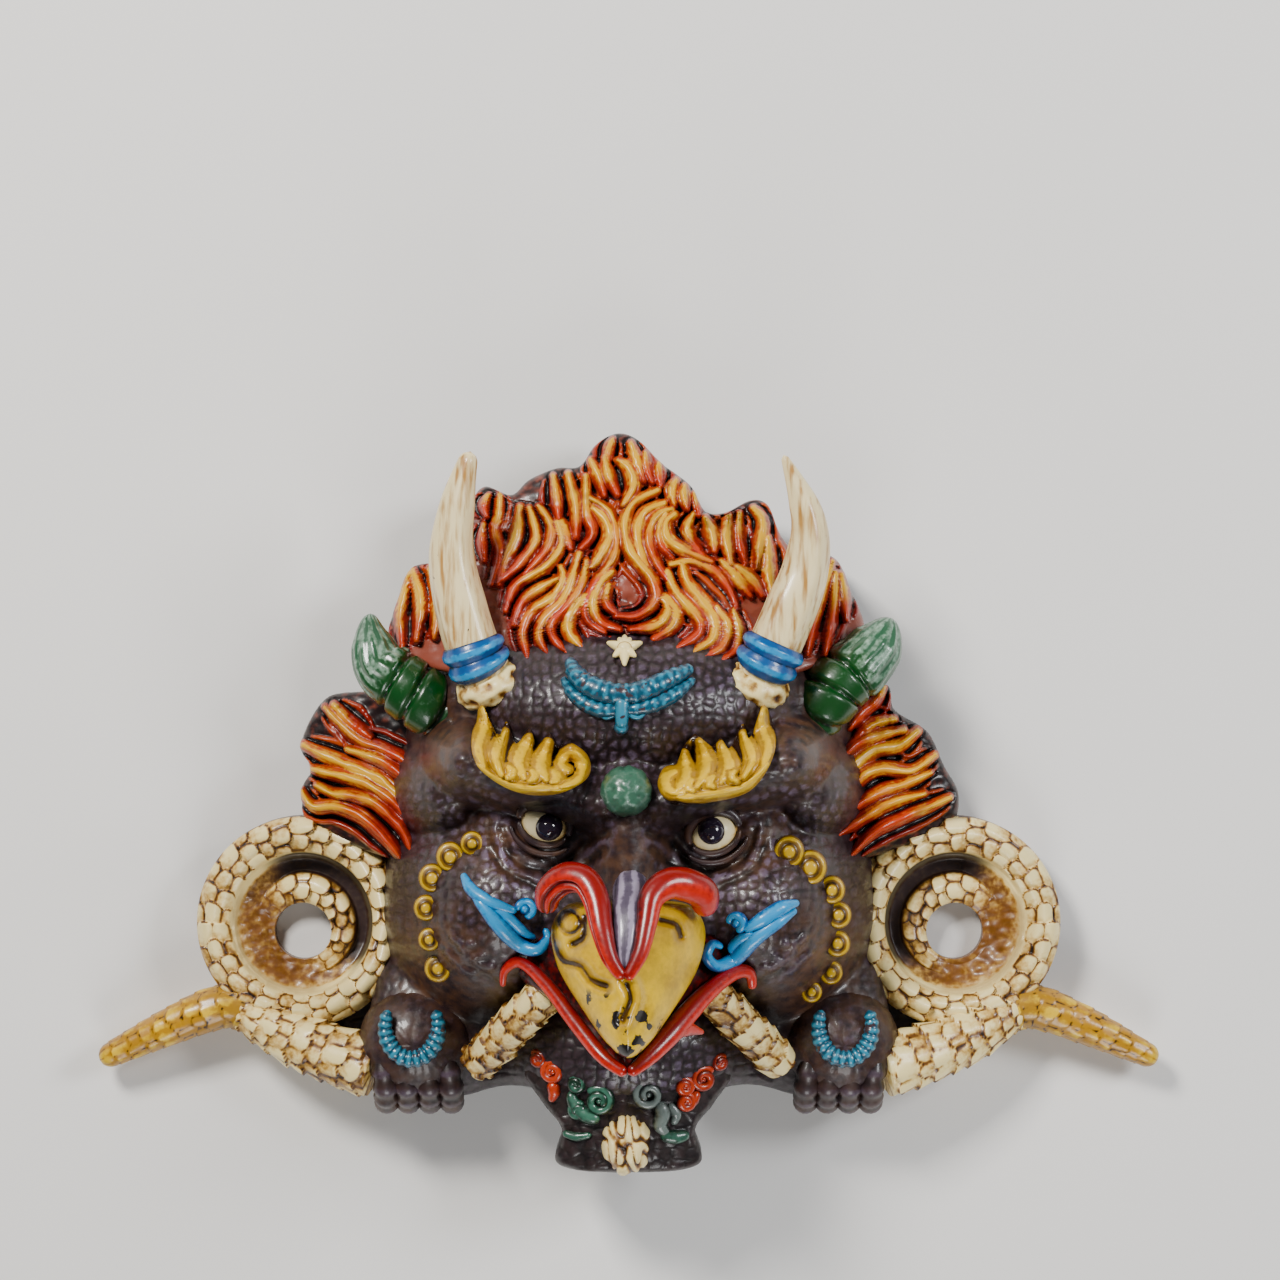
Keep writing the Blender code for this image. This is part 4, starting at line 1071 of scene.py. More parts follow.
LEFT_BROW_LOCKS = (
    ((-24, 6.6), (-19, 3.3), (-13, 2.9), (-9, 3.1)),
    ((-23, 6.4), (-24, 9.5), (-23.2, 12.6), (-23.4, 15.6)),
    ((-20.2, 5.2), (-21.2, 8.2), (-19.9, 11.8)),
    ((-16.6, 4.6), (-17.6, 7.6), (-16, 10.6)),
    ((-13, 4.4), (-14, 7.0), (-12.9, 10)),
    ((-10.6, 3.2), (-7.8, 4.4), (-7.4, 7.0), (-9.3, 8.4), (-10.8, 6.8), (-9.6, 5.8)),
    ((-19.2, 4.7), (-18.3, 5.3), (-18.9, 6.2)),
    ((-15.6, 4.2), (-14.7, 4.8), (-15.3, 5.7)),
    ((-12.2, 4.0), (-11.3, 4.6), (-11.9, 5.5)),
)
RIGHT_BROW_LOCKS = (
    ((22.2, 6.8), (18.6, 3.2), (13, 1.9), (8, 1.7)),
    ((21.4, 6.4), (22.5, 9.4), (21.7, 12.4), (21.8, 15.2)),
    ((18.4, 4.8), (19.8, 7.8), (18.6, 11.4)),
    ((14.8, 3.8), (16.2, 6.6), (15.2, 9.4)),
    ((11, 3.4), (12.7, 6.8), (11.6, 10.2)),
    ((7.8, 2.8), (9.4, 5.2), (9.0, 8.2)),
    ((8.8, 2.4), (6.6, 2.6), (6.0, 4.6), (7.6, 5.6)),
    ((17.2, 4.2), (16.4, 4.9), (17, 5.7)),
    ((13.6, 3.2), (12.8, 3.9), (13.4, 4.7)),
    ((10.2, 2.7), (9.4, 3.4), (10, 4.2)),
)


def build_eyebrows():
    """Thick crescent brows, each carved as a row of flame-tipped leaves over a rim."""
    brows = Piece("eyebrows", "gold_paint", "yellow")
    for side, outline, locks in ((-1, LEFT_BROW, LEFT_BROW_LOCKS), (1, RIGHT_BROW, RIGHT_BROW_LOCKS)):

        def top(x, y, locks=locks):
            rise, crest, along, tone = lock_relief(x, y, locks, 2.1, 3.0, STRANDS[:1], 0.3)
            return face_height(x, y) + BROW_LIFT + rise, crest, along, tone

        centre = (side * BROW_CENTRE[0], BROW_CENTRE[1])
        brows.slab(centre, outline, top, foot_under(face_height, 2), count=116, lip=1.5)
    brows.place()


JEWEL_CENTRE = (-0.3, 2.4, 41.6)
JEWEL_RADII = (4.2, 4.1, 4.4)
# The moon's upper and lower crescent: line, lift over the skin, radii, sides and step
MOON_HORNS = (
    (((-9.6, 23.6), (-8.2, 20.8), (-5.4, 18.8), (-1.6, 17.9), (2, 18.3), (6, 20), (10.4, 22.2)), 0.9,
     (0.8, 1.6, 1.9, 1.7, 1.8, 1.6, 0.8), 18, 0.25),
    (((-10.6, 20.6), (-8.8, 17.9), (-5.2, 15.6), (-1.2, 15.4), (3, 15.9), (7, 17.6), (10.8, 20.4)), 0.4,
     (0.5, 1.2, 1.3, 1.0, 1.3, 1.2, 0.5), 14, 0.3),
)
SUN_SPOT = (-0.6, 25.2)
# Bearing in degrees and length of each ray
SUN_RAYS = ((-90, 2.8), (-35, 2.3), (-145, 2.3), (20, 3.1), (160, 3.1), (90, 2.2), (62, 2), (118, 2))


def build_forehead_ornaments():
    """Brow jewel, moon with its pendant, and the small sun flame over it."""
    jewel = Piece("brow_jewel", "jewel_green", "jewel")

    def dented(tilt, turn):
        u, v = plan_of(tilt, turn, JEWEL_RADII[0], JEWEL_RADII[0])
        dents = 0.5 * ripple(u, v, 1.6, 2) + 0.5 * ripple(u, v, 0.9, 5)
        # The crest rises towards the top: painted light.
        return 0.3 * dents, clamp(0.4 + 0.2 * np.cos(tilt) + 0.35 * dents)

    jewel.ball(JEWEL_CENTRE, JEWEL_RADII, rings=30, carve=dented)
    jewel.place()

    moon = Piece("moon", "sky_blue", "teal")

    def ribbed(reach, angle, radius, share):
        ribs = 0.5 * np.cos(reach * 4.2 + 0.8 * np.cos(angle)) + ripple(1.5 * reach, 2 * angle, 1.3, 6)
        # Paler on the upper side, darker underneath: painted light and shade.
        return 0.07 * radius * ribs, clamp(0.5 + 0.3 * np.sin(angle) + 0.26 * ribs)

    for line, lift, radii, sides, step in MOON_HORNS:
        moon.tube(laid_on(face_height, line, lift), radii, sides, step, carve=ribbed)
    pendant = ((-1, 17.6), (-1, 14.6), (-1.1, 12.4))
    moon.tube(laid_on(face_height, pendant, 1.0), (1.4, 1.2, 1.0), sides=14, step=0.3)
    moon.ball(laid_on(face_height, ((-1.1, 12.6),), 0.7)[0], (1.2, 1.2, 0.9), rings=10)
    for side in SIDES:
        barb = ((-1, 15.4), (-1 + side * 2.4, 14.2), (-1 + side * 3.8, 15))
        moon.tube(laid_on(face_height, barb, 0.5), (0.6, 0.5, 0.3), sides=10, step=0.3)
    moon.place()

    sun = Piece("sun_flame", "ivory_paint", "ivory")
    for bearing, length in SUN_RAYS:
        reach_x = length * math.cos(math.radians(bearing))
        reach_y = length * math.sin(math.radians(bearing))
        ray = [(SUN_SPOT[0] + part * reach_x, SUN_SPOT[1] + part * reach_y) for part in (0, 0.55, 1)]
        sun.tube(laid_on(face_height, ray, 1.0), (0.9, 0.8, 0.25), sides=12, step=0.25)
    sun.ball(laid_on(face_height, (SUN_SPOT,), 1.1)[0], (1.3, 1.2, 1.2), rings=12)
    sun.place()


# Creases pressed into the upper beak: those with a raised lip, then those without
LIPPED_FOLDS = (
    ((-11.9, -17.6), (-12, -21), (-10.6, -24.4), (-7.6, -25.2), (-5.8, -27.2), (-3.4, -28.0)),
    ((-0.2, -27.6), (0.4, -29.6), (-0.2, -31.6), (-0.8, -33)),
)
PLAIN_FOLDS = (
    ((-6.9, -17.4), (-7, -20.4), (-8.8, -21.8)),
    ((5.2, -17.8), (7.6, -18.6), (8.4, -20.6)),
)
# Places and sizes of the black chips
BEAK_CHIPS = ((-1.9, -32.2, 0.8), (-1.9, -33.8, 0.9), (2.0, -32.6, 1.3), (-0.5, -38, 1.5), (3.4, -34.4, 0.6))
LOWER_BEAK_CENTRE = (0, -29)
# The lower beak's red lips and the fold beside them: path, radii and sides
LIPS = (
    (((-20.4, -29.8, 31), (-20, -27, 32.5), (-17.4, -25.6, 34.2), (-13.2, -28.8, 38), (-8.4, -34.6, 43),
      (-4, -39.6, 47), (-0.2, -42.2, 48.6)), (0.5, 0.9, 1.1, 1.2, 1.25, 1.2, 0.9), 18),
    (((20.2, -30.2, 31), (19.6, -27.4, 32.5), (16.8, -27.4, 34.6), (12, -30.8, 39), (6.2, -36.8, 44.6),
      (2.6, -40.2, 47.4), (0, -42.2, 48.6)), (0.7, 1.2, 1.4, 1.7, 1.8, 1.5, 0.9), 18),
    (((5.4, -36.2, 43.6), (8.6, -35.6, 41), (12.2, -36.6, 38)), (1.9, 1.5, 0.3), 14),
)


def beak_top(x, y):
    """The hooked beak with its swirl, folds and chips."""
    z = beak_height(x, y) + 1.1 * pair_of_spots(x, y, 8.2, -19.4, 4.2)
    crest = 0.72 + 0.2 * ripple(x, y, 4.5, 4)
    turns = np.hypot((x + 9.4) / 0.95, y + 18.4)
    swirl = bell(turns - 1.7, 0.42)
    gaps = [path_distance(x, y, smooth_path(line, 0.6))[0] for line in LIPPED_FOLDS + PLAIN_FOLDS]
    folds = sum(bell(gap, 0.6) for gap in gaps)
    lips = sum(bell(gap - 1.5, 0.7) for gap in gaps[:len(LIPPED_FOLDS)])
    z = z - 0.9 * swirl - 1.1 * folds + 0.5 * lips
    crest = crest - 0.6 * swirl - 0.7 * folds
    near_tip = clamp((-27 - y) / 7)
    chips = sum(spot(x, y, *chip) for chip in BEAK_CHIPS)
    z = z - 0.25 * clamp(2 * chips)
    return z, clamp(crest), near_tip, clamp(chips)


def lower_beak_top(x, y):
    """The mouth's dark floor."""
    return lower_beak_height(x) - 0.9 + 0.3 * ripple(x, y, 2.4, 3), 0.14, 0.5, 0.5


def build_beak():
    """The hooked upper beak and the red-lipped lower one."""
    beak = Piece("upper_beak", "beak_yellow", "beak")
    outline = mirrored_outline(BEAK_HALF_OUTLINE)
    beak.slab(BEAK_CENTRE, outline, beak_top, flat_foot(34), count=110, lip=3.6, wall_rings=8)
    beak.place()
    lower = Piece("lower_beak", "lip_red", "red")
    outline = mirrored_outline(LOWER_BEAK_HALF_OUTLINE)
    lower.slab(LOWER_BEAK_CENTRE, outline, lower_beak_top, flat_foot(22), count=40, lip=1.2)
    for path, radii, sides in LIPS:
        lower.tube(path, radii, sides=sides, step=0.4)
    lower.place()


LEFT_NOSTRIL = (
    (-12.9, -16.8, 43), (-12.6, -13.6, 45.2), (-9.9, -11.2, 47), (-6.8, -11.6, 48.8), (-5.0, -14.6, 50.6),
    (-4.1, -19.0, 52.8), (-2.8, -23.4, 54.3), (-0.6, -26.6, 55),
)
RIGHT_NOSTRIL = (
    (12.1, -17.2, 43), (12.0, -14.0, 45.2), (9.6, -12.4, 47), (6.4, -12.0, 48.8), (3.8, -14.0, 50.6),
    (2.9, -18.2, 52.6), (1.9, -22.6, 54.2), (-0.3, -26.8, 55),
)

NOSE_BRIDGE = ((0.6, -10.8, 43), (0.4, -13.4, 47.4), (0.1, -17, 50.9), (-0.2, -21, 53), (-0.3, -25.2, 54.2))


def build_nose():
    """Red nostril curls that run down to a point, with the lilac bridge between them."""
    curls = Piece("nostril_curls", "lip_red", "red")

    def doubled(reach, angle, radius, share):
        split = sum(bell(angle - line, 0.16) for line in (1.15, 1.95))
        split = split * clamp((0.92 - share) / 0.1)
        # Paler on the upper side, darker underneath: painted light and shade.
        return -0.34 * radius * split, clamp(0.62 + 0.38 * np.sin(angle) - 0.8 * split)

    curls.tube(LEFT_NOSTRIL, (1.6, 2.3, 2.5, 2.3, 2.1, 1.8, 1.4, 0.9), sides=56, step=0.3, carve=doubled)
    curls.tube(RIGHT_NOSTRIL, (1.9, 2.6, 2.7, 2.4, 1.9, 1.6, 1.3, 0.9), sides=24, step=0.3)
    curls.place()
    bridge = Piece("nose_bridge", "dark_skin", "lilac")

    def veined(reach, angle, radius, share):
        veins = np.cos(7 * angle + 0.5 * np.sin(0.8 * reach))
        # Paler on the upper side, darker underneath: painted light and shade.
        return 0.04 * radius * veins, clamp(0.45 + 0.3 * np.sin(angle) + 0.35 * veins)

    bridge.tube(NOSE_BRIDGE, (2.2, 2.8, 2.6, 2.0, 1.0), sides=28, step=0.3, height=0.7, carve=veined)
    bridge.place()


# Plan path and radii of each strand
MOUSTACHE_STRANDS = (
    (((-26.8, -11.2), (-25.4, -13.6), (-22.8, -15.4), (-20.2, -16.4), (-18, -17.2)),
     (0.5, 1.0, 1.15, 0.95, 0.6)),
    (((-25.6, -13.4), (-23.4, -16.2), (-20.6, -19.6), (-17.6, -22.6), (-14.8, -23.4), (-13.1, -21.6),
      (-13.6, -20.0)), (0.5, 1.0, 1.3, 1.4, 1.2, 0.95, 0.5)),
    (((-22.4, -15.8), (-19.6, -17.8), (-17, -20.4), (-15, -21.6)), (0.4, 0.9, 0.9, 0.4)),
    (((27.6, -15.8), (24.6, -16.6), (21.6, -18.4), (18.6, -20.2)), (0.5, 1.25, 1.3, 0.7)),
    (((27.2, -16.9), (23.6, -19.2), (20, -22), (17.0, -25.2), (14.2, -26.0), (12.6, -24.2), (13.6, -22.4),
      (15.2, -23)), (0.5, 1.1, 1.2, 1.4, 1.3, 1.0, 0.9, 0.5)),
    (((20.4, -20.6), (18.2, -21.6), (16.8, -23.2), (17.6, -24.4)), (0.5, 0.9, 0.9, 0.5)),
)
# Below this the strands lie on the lower beak where it is higher than the face
MOUTH_CORNER = -22
MOUSTACHE_KNOBS = ((-16.7, -16.8), (17.4, -19.0))


def build_moustaches():
    """Bright blue curls on the cheeks: twin strands and a small coiled knob."""
    curls = Piece("moustache_curls", "sky_blue", "blue")
    for strand, radii in MOUSTACHE_STRANDS:
        path = [(x, y, max(face_height(x, y) + 1.0, lower_beak_height(x) + 1.2 if y < MOUTH_CORNER else 0))
                for x, y in strand]
        curls.tube(path, radii, sides=18, step=0.3)
    for x, y in MOUSTACHE_KNOBS:
        ring = [(x + 1.15 * math.cos(t), y + 1.15 * math.sin(t)) for t in np.radians(range(-90, 200, 40))]
        curls.tube(laid_on(face_height, ring, 1.1), (0.8, 0.8, 0.55), sides=12, step=0.25)
        curls.ball((x, y, face_height(x, y) + 1.0), (0.85, 0.85, 1.1), rings=10)
    curls.place()


# Plan place and radius of each bead, for both strings
BEADS = (
    (-25.4, -6.5, 2.0), (-29, -8.7, 2.4), (-32, -12.2, 2.3), (-33, -17.1, 2.1), (-32.5, -22.3, 1.9),
    (-31.2, -27.2, 2.3), (26.1, -7.8, 2.6), (29.6, -10.4, 2.8), (33.2, -14.2, 2.3), (34.4, -18.4, 2.2),
    (34.3, -23.2, 2.2), (33.4, -28.2, 2.0), (30.2, -31.4, 1.8),
)


def build_beads():
    """Strings of gold beads, each a flat ring round a raised button."""
    beads = Piece("bead_strings", "gold_paint", "gold")

    def ringed(tilt, turn):
        dish = bell(tilt - 0.62, 0.17)
        # The dish round the button and the bead's lower side take a low crest: painted shade.
        return -0.5 * dish, clamp(0.95 - 0.9 * dish - 0.5 * (tilt > 1.15))

    for x, y, size in BEADS:
        beads.ball((x, y, face_height(x, y) + 0.5), (size, size * 1.05, 1.7), rings=18, carve=ringed)
    beads.place()


def crown_top(x, y):
    """Flame locks over the leaning crown."""
    rise, crest, along, tone = lock_relief(x, y, CROWN_LOCKS, 1.4, 3.1)
    pit = spot(x, y, 0.2, 32.6, 1.5)
    between = (tone < 0) * (0.18 * clamp((42 - y) / 6) - 0.3 * clamp((y - 42) / 7))
    crest = crest - 0.3 * pit + between
    return crown_height(x, y) + rise - 1.2 * pit, clamp(crest), along, tone


def tuft_top(locks):
    """Side-hair locks over a plain ground."""
    def top(x, y):
        rise, crest, along, tone = lock_relief(x, y, locks, 1.75, 4.0, STRANDS, 0.12)
        return tuft_height(x, y) + rise - 0.4, crest, along, tone
    return top


def build_hair():
    """The flame crown and the hair at both temples."""
    crown = Piece("flame_crown", "flame_orange", "flame")
    foot = foot_under(crown_height, CROWN_BACK)
    crown.slab(CROWN_CENTRE, CROWN_OUTLINE, crown_top, foot, count=222, lip=1.6)
    crown.place()
    for side, name, outline, locks in ((-1, "left_side_hair", LEFT_TUFT, LEFT_TUFT_LOCKS),
                                       (1, "right_side_hair", RIGHT_TUFT, RIGHT_TUFT_LOCKS)):
        tuft = Piece(name, "flame_orange", "flame")
        centre = (side * TUFT_CENTRE[0], TUFT_CENTRE[1])
        tuft.slab(centre, outline, tuft_top(locks), flat_foot(0), count=140, lip=2)
        tuft.place()


def build_horns():
    """Bone horns, each with a ragged cuff and two blue bands."""
    horns = Piece("horns", "ivory_paint", "horn")
    cuffs = Piece("horn_cuffs", "ivory_paint", "ivory")
    bands = Piece("horn_bands", "sky_blue", "blue")

    def shaved(reach, angle, radius, share):
        flats = np.cos(5 * angle + 1.3 * np.sin(reach * 0.12)) + 0.6 * np.cos(3 * angle + 0.1 * reach)
        # The crest is highest on top and lowest underneath: painted light and shade.
        return 0.035 * radius * flats, 0.62 + 0.38 * np.sin(angle)

    def ragged(reach, angle, radius, share):
        chips = ripple(reach * 1.2, angle * 4, 1.6, 3)
        # Paler on the upper side and darker underneath, besides the chips: painted light and shade.
        return 0.6 * chips, clamp(0.42 + 0.25 * np.sin(angle) + 0.5 * chips)

    def plain(reach, angle, radius, share):
        # A little paler on the upper side: painted light.
        return 0.05 * np.cos(3 * angle), 0.1 + 0.75 * np.sin(math.pi * share) + 0.1 * np.sin(angle)

    for horn, radii in HORNS:
        horns.tube(horn, radii, sides=40, step=0.5, carve=shaved)
        path = smooth_path(horn, 0.5)
        cuff = path[[1, 3, 5, 7, 9]]
        cuffs.tube(cuff, (4.7, 5.5, 5.7, 5.4, 4.5), sides=40, step=0.25, carve=ragged, round_ends=False)
        for first in (10, 15):
            band = path[[first, first + 1, first + 4, first + 5]]
            bands.tube(band, (4.6, 5.3, 5.3, 4.6), sides=40, step=0.15, carve=plain, round_ends=False)
    for piece in (horns, cuffs, bands):
        piece.place()


def build_ears():
    """Glossy green ears wound with a spiral at the root, smooth and worn pale at the tip."""
    def wound(reach, angle, radius, share):
        turns = reach / 3.7 + angle / (2 * math.pi) + 0.45
        groove = np.abs(turns - np.round(turns))
        fold = clamp(groove / 0.2) ** 0.6
        rooted = clamp((0.56 - share) / 0.05)
        streaks = 0.03 * np.cos(13 * angle + 0.6 * np.sin(0.7 * reach)) * (1 - rooted)
        ridges = ripple(7 * angle, 0.25 * reach, 1.3, 3)
        crest = (0.02 + 0.62 * fold) * rooted + (0.82 + 0.6 * ridges) * (1 - rooted)
        # A little paler on the upper side: painted light.
        return radius * (0.24 * (fold - 1) * rooted + streaks), clamp(crest + 0.18 * np.sin(angle))

    for name, (ear, radii) in EARS.items():
        piece = Piece(name, "gloss_green", "green")
        piece.tube(ear, radii, sides=88, step=0.25, carve=wound)
        piece.place()


def scaled(length, width, depth, seed):
    """A carve function that covers a rod in scales that point along it."""
    def carve(reach, angle, radius, share):
        across = (angle - math.pi / 2) * np.max(radius)
        drift = 0.7 * ripple(reach + 0 * across, across + 0 * reach, 4, seed)
        rise, lip = scale_relief(reach + drift, across + drift, length, width, seed)
        fit = np.minimum(1, radius / np.max(radius) + 0.2)
        return depth * (rise - 0.6) * fit, scale_crest(rise, lip)
    return carve


def build_coil(side, name):
    """A snake's coil: a scaly outer turn, a smooth recess and a small scaly turn round the hole."""
    around, steps, hole_steps, wall_steps = 430, 88, 5, 7
    turn = 2 * math.pi * np.arange(around) / around
    share = np.concatenate([np.zeros(hole_steps), np.linspace(0, 1, steps), np.ones(wall_steps)])
    low = np.concatenate([np.linspace(0, 0.8, hole_steps), np.ones(steps), np.linspace(0.85, 0, wall_steps)])
    turn, share = np.meshgrid(turn, share, indexing="ij")
    low = low[None, :] + 0 * turn
    radius = COIL_HOLE_RADIUS + share * (COIL_RADIUS - COIL_HOLE_RADIUS)
    lean = clamp(share * 1.6)
    centre_x = side * (COIL_HOLE[0] + lean * (COIL_CENTRE[0] - COIL_HOLE[0]))
    centre_y = COIL_HOLE[1] + lean * (COIL_CENTRE[1] - COIL_HOLE[1])
    x = centre_x + side * radius * np.cos(turn)
    y = centre_y + radius * np.sin(turn)

    # The scaly outer turn, which climbs towards the jaw
    outer = clamp((radius - OUTER_START) / (COIL_RADIUS - OUTER_START))
    hump = np.sqrt(clamp(1 - ((outer - 0.52) / 0.55) ** 2))
    climb = 0.5 + 0.5 * np.cos(turn - math.radians(CLIMB_TOWARDS))
    wander = 0.5 * ripple(x, y, 5, 2)
    rise, lip = scale_relief(turn * 14.6 + wander, (radius - OUTER_MIDDLE) * 1.1 + wander, 3.06, 3.1, 4)
    in_outer = clamp((radius - 11.6) / 0.5)
    z_outer = 4.9 + 4.2 * hump + 1.6 * climb + 2.5 * (rise - 0.45) * (outer < 0.97)

    # The small turn round the hole, and the recess, which is filled up to a bank on one side
    banked = clamp(0.5 + 0.95 * np.cos(turn - math.radians(BANK_TOWARDS)))
    inner_edge = 8.6 - 1.2 * banked
    inner = clamp((radius - COIL_HOLE_RADIUS) / (inner_edge - COIL_HOLE_RADIUS))
    reach = turn * INNER_MIDDLE + wander
    small, small_lip = scale_relief(reach, (radius - INNER_MIDDLE) * 1.05, 2.3, 2.6, 9)
    z_inner = 3.2 + 2.3 * np.sqrt(clamp(1 - ((inner - 0.55) / 0.6) ** 2)) + 1.5 * (small - 0.4)
    recess = clamp((radius - inner_edge) / 0.6)
    bank = 3.4 + 2.6 * clamp((radius - 6) / 5.6) + 0.32 * ripple(x, y, 1.9, 3)
    floor = 3.0 + (bank - 3.0) * banked
    z = z_inner + (floor - z_inner) * np.maximum(recess, banked)

    # Both turns put together, with the raised ring between them, and what the paint reads there
    collar = bell(radius - COLLAR_RADIUS, 0.45)
    z = z + (z_outer - z) * in_outer + 0.9 * collar
    plain = np.maximum(recess, banked)
    tan = 0.33 + 0.1 * ripple(x, y, 1.6, 7) + 0.25 * clamp((radius - 9) / 3)
    crest = scale_crest(small, small_lip) * (1 - plain) + plain * (0.3 + (tan - 0.3) * banked)
    crest = crest + (scale_crest(rise, lip) - crest) * in_outer
    crest = clamp(crest + 0.55 * collar)
    # Painted shade: the recess, away from its bank, takes a high tone that the ivory paint lays over with
    # near-black; the bank takes a low tone for its tan.
    tone = 0.5 + 0.5 * recess * (1 - in_outer) * (1 - banked) - 0.24 * banked * (1 - in_outer)
    # Painted shade: the walls down into the hole and down the outside take a low crest.
    crest = np.where(low < 1, 0.18 + 0.12 * ripple(x, y, 3, 2), crest)

    points = np.stack([x, y, z * low], axis=-1)
    if side > 0:
        points, crest, tone = points[::-1], crest[::-1], tone[::-1]
    rows, columns = turn.shape
    i, j = np.meshgrid(np.arange(rows), np.arange(columns), indexing="ij")
    n, m = (i + 1) % rows, (j + 1) % columns
    corners = (i * columns + j, n * columns + j, n * columns + m, i * columns + m)
    faces = np.stack(corners, axis=-1).reshape(-1, 4)
    coil = Piece(name, "ivory_paint", "ivory")
    coil.add(points.reshape(-1, 3), [faces], crest.ravel(), 0.5, tone.ravel())
    coil.place()


SNAKE_TAIL = ((58, -37, 5), (63.5, -36, 5.8), (68.5, -35.2, 6.2), (77, -38.4, 6), (89.3, -44.3, 5))
GRIPPED_BODY = ((66, -34.6, 6), (60.5, -38.2, 8), (51.5, -42, 10.5), (42.5, -44.8, 12.5))
BITTEN_BODY = ((25, -43.4, 18), (21.5, -39.6, 22), (17.5, -35.2, 27), (13, -30.5, 31))


WEB_CENTRE = (48, -36)
WEB_OUTLINE = ((38, -28), (56, -30), (66, -33), (60, -38), (50, -42), (38, -44))


def web_top(x, y):
    """Pebbled skin between the face and a coil."""
    return COIL_PLATE + 0.4 * pebbles(x, y, 1.8), 0.35, 0.3, 0.3


def build_snakes():
    """Coils, tails and the lengths of snake that the hands and the beak hold."""
    webs = Piece("coil_webs", "dark_skin", "skin")
    for side in SIDES:
        centre = (side * WEB_CENTRE[0], WEB_CENTRE[1])
        webs.slab(centre, to_side(WEB_OUTLINE, side), web_top, flat_foot(0), count=32, lip=0.6)
    webs.place()
    for side, name in ((-1, "left"), (1, "right")):
        build_coil(side, name + "_coil")
        bodies = Piece(name + "_snake_body", "ivory_paint", "ivory")
        bodies.tube(to_side(GRIPPED_BODY, side), (3.0, 4.4, 5.0, 5.3), sides=64, step=0.28,
                    carve=scaled(3.2, 3.3, 1.3, 7 + side), round_ends=False)
        bodies.tube(to_side(BITTEN_BODY, side), (3.3, 3.5, 3.4, 3.2), sides=56, step=0.25,
                    carve=scaled(3.4, 3.9, 1.3, 12 + side), round_ends=False)
        bodies.place()
        tail = Piece(name + "_snake_tail", "gold_paint", "tail")
        tail.tube(to_side(SNAKE_TAIL, side), (3.3, 3.8, 3.7, 3.2, 2.6, 1.9), sides=52, step=0.3,
                  carve=scaled(2.8, 2.6, 0.45, 20 + side))
        tail.place()


HAND_CENTRE = (35.6, -40.5, 12)
# The fingers of a hand: how many, where the inmost stands, and how far apart they are
FINGERS = 4
FIRST_FINGER = 29.6
FINGER_PACE = 3.6
BRACELET_CENTRE = (35.8, -37.2, 20.6)


def build_hands():
    """Dark hands with ridged fingers and beaded bracelets."""
    hands = Piece("hands", "dark_skin", "skin")
    bracelets = Piece("bracelets", "sky_blue", "teal")

    def knuckled(reach, angle, radius, share):
        rings = np.cos(reach * 2.4)
        # Paler on the upper side, darker underneath: painted light and shade.
        return 0.14 * rings, clamp(0.45 + 0.25 * np.sin(angle) + 0.25 * rings)

    def leathery(tilt, turn):
        bumps = pebbles(*plan_of(tilt, turn, 9, 9), 1.7)
        # Paler towards the top: painted light.
        return 0.2 * bumps, clamp(0.3 + 0.2 * np.cos(tilt) + 0.3 * bumps)

    def beaded(reach, angle, radius, share):
        beads = np.abs(np.cos(reach * 2.5))
        # Paler on the upper side, darker underneath: painted light and shade.
        return 0.2 * radius * (beads - 0.6), clamp(0.2 + 0.6 * beads + 0.25 * np.sin(angle))

    for side in SIDES:
        hands.ball(to_side((HAND_CENTRE,), side)[0], (9.4, 9, 8.6), rings=40, carve=leathery, tone=0.35)
        for k in range(FINGERS):
            x = FIRST_FINGER + FINGER_PACE * k
            finger = to_side(((x + 0.6, -42.5, 17), (x, -47.4, 16), (x, -50.6, 11.5), (x, -50.6, 6)), side)
            hands.tube(finger, (1.7, 2.1, 2.0, 1.7), sides=18, step=0.3, carve=knuckled, tone=0.35)
        wrist_x, wrist_y, level = BRACELET_CENTRE
        loop = []
        for t in np.radians(np.linspace(150, 390, 14)):
            across, along = 4.4 * math.cos(t), 5.4 * math.sin(t)
            loop.append((side * wrist_x + across, wrist_y + along, level - 0.1 * abs(math.cos(t))))
        bracelets.tube(loop, (0.9, 1.4, 1.4, 1.4, 0.9), sides=18, step=0.22, carve=beaded)
    hands.place()
    bracelets.place()

SHELL_CENTRE = (-0.2, -56.1, 26)
SHELL_RADII = (3.8, 4.5, 4.4)
# Spiral curls of the beard: colour, plan place, size and the way they wind
BEARD_CURLS = (
    ("red", -14.9, -42.3, 1.1, -1), ("red", -12.4, -44.3, 1.7, 1), ("red", 12.3, -45.5, 1.9, 1),
    ("red", 9.2, -46.6, 1.3, -1), ("red", 9.4, -49.2, 1.3, -1), ("red", 15.1, -42.9, 1.0, 1),
    ("green", -4.8, -48.9, 2.2, -1), ("green", -8.3, -50.6, 1.2, 1), ("green", -8.6, -46.2, 1.2, -1),
    ("grey", 3.3, -47.8, 2.4, 1),
)
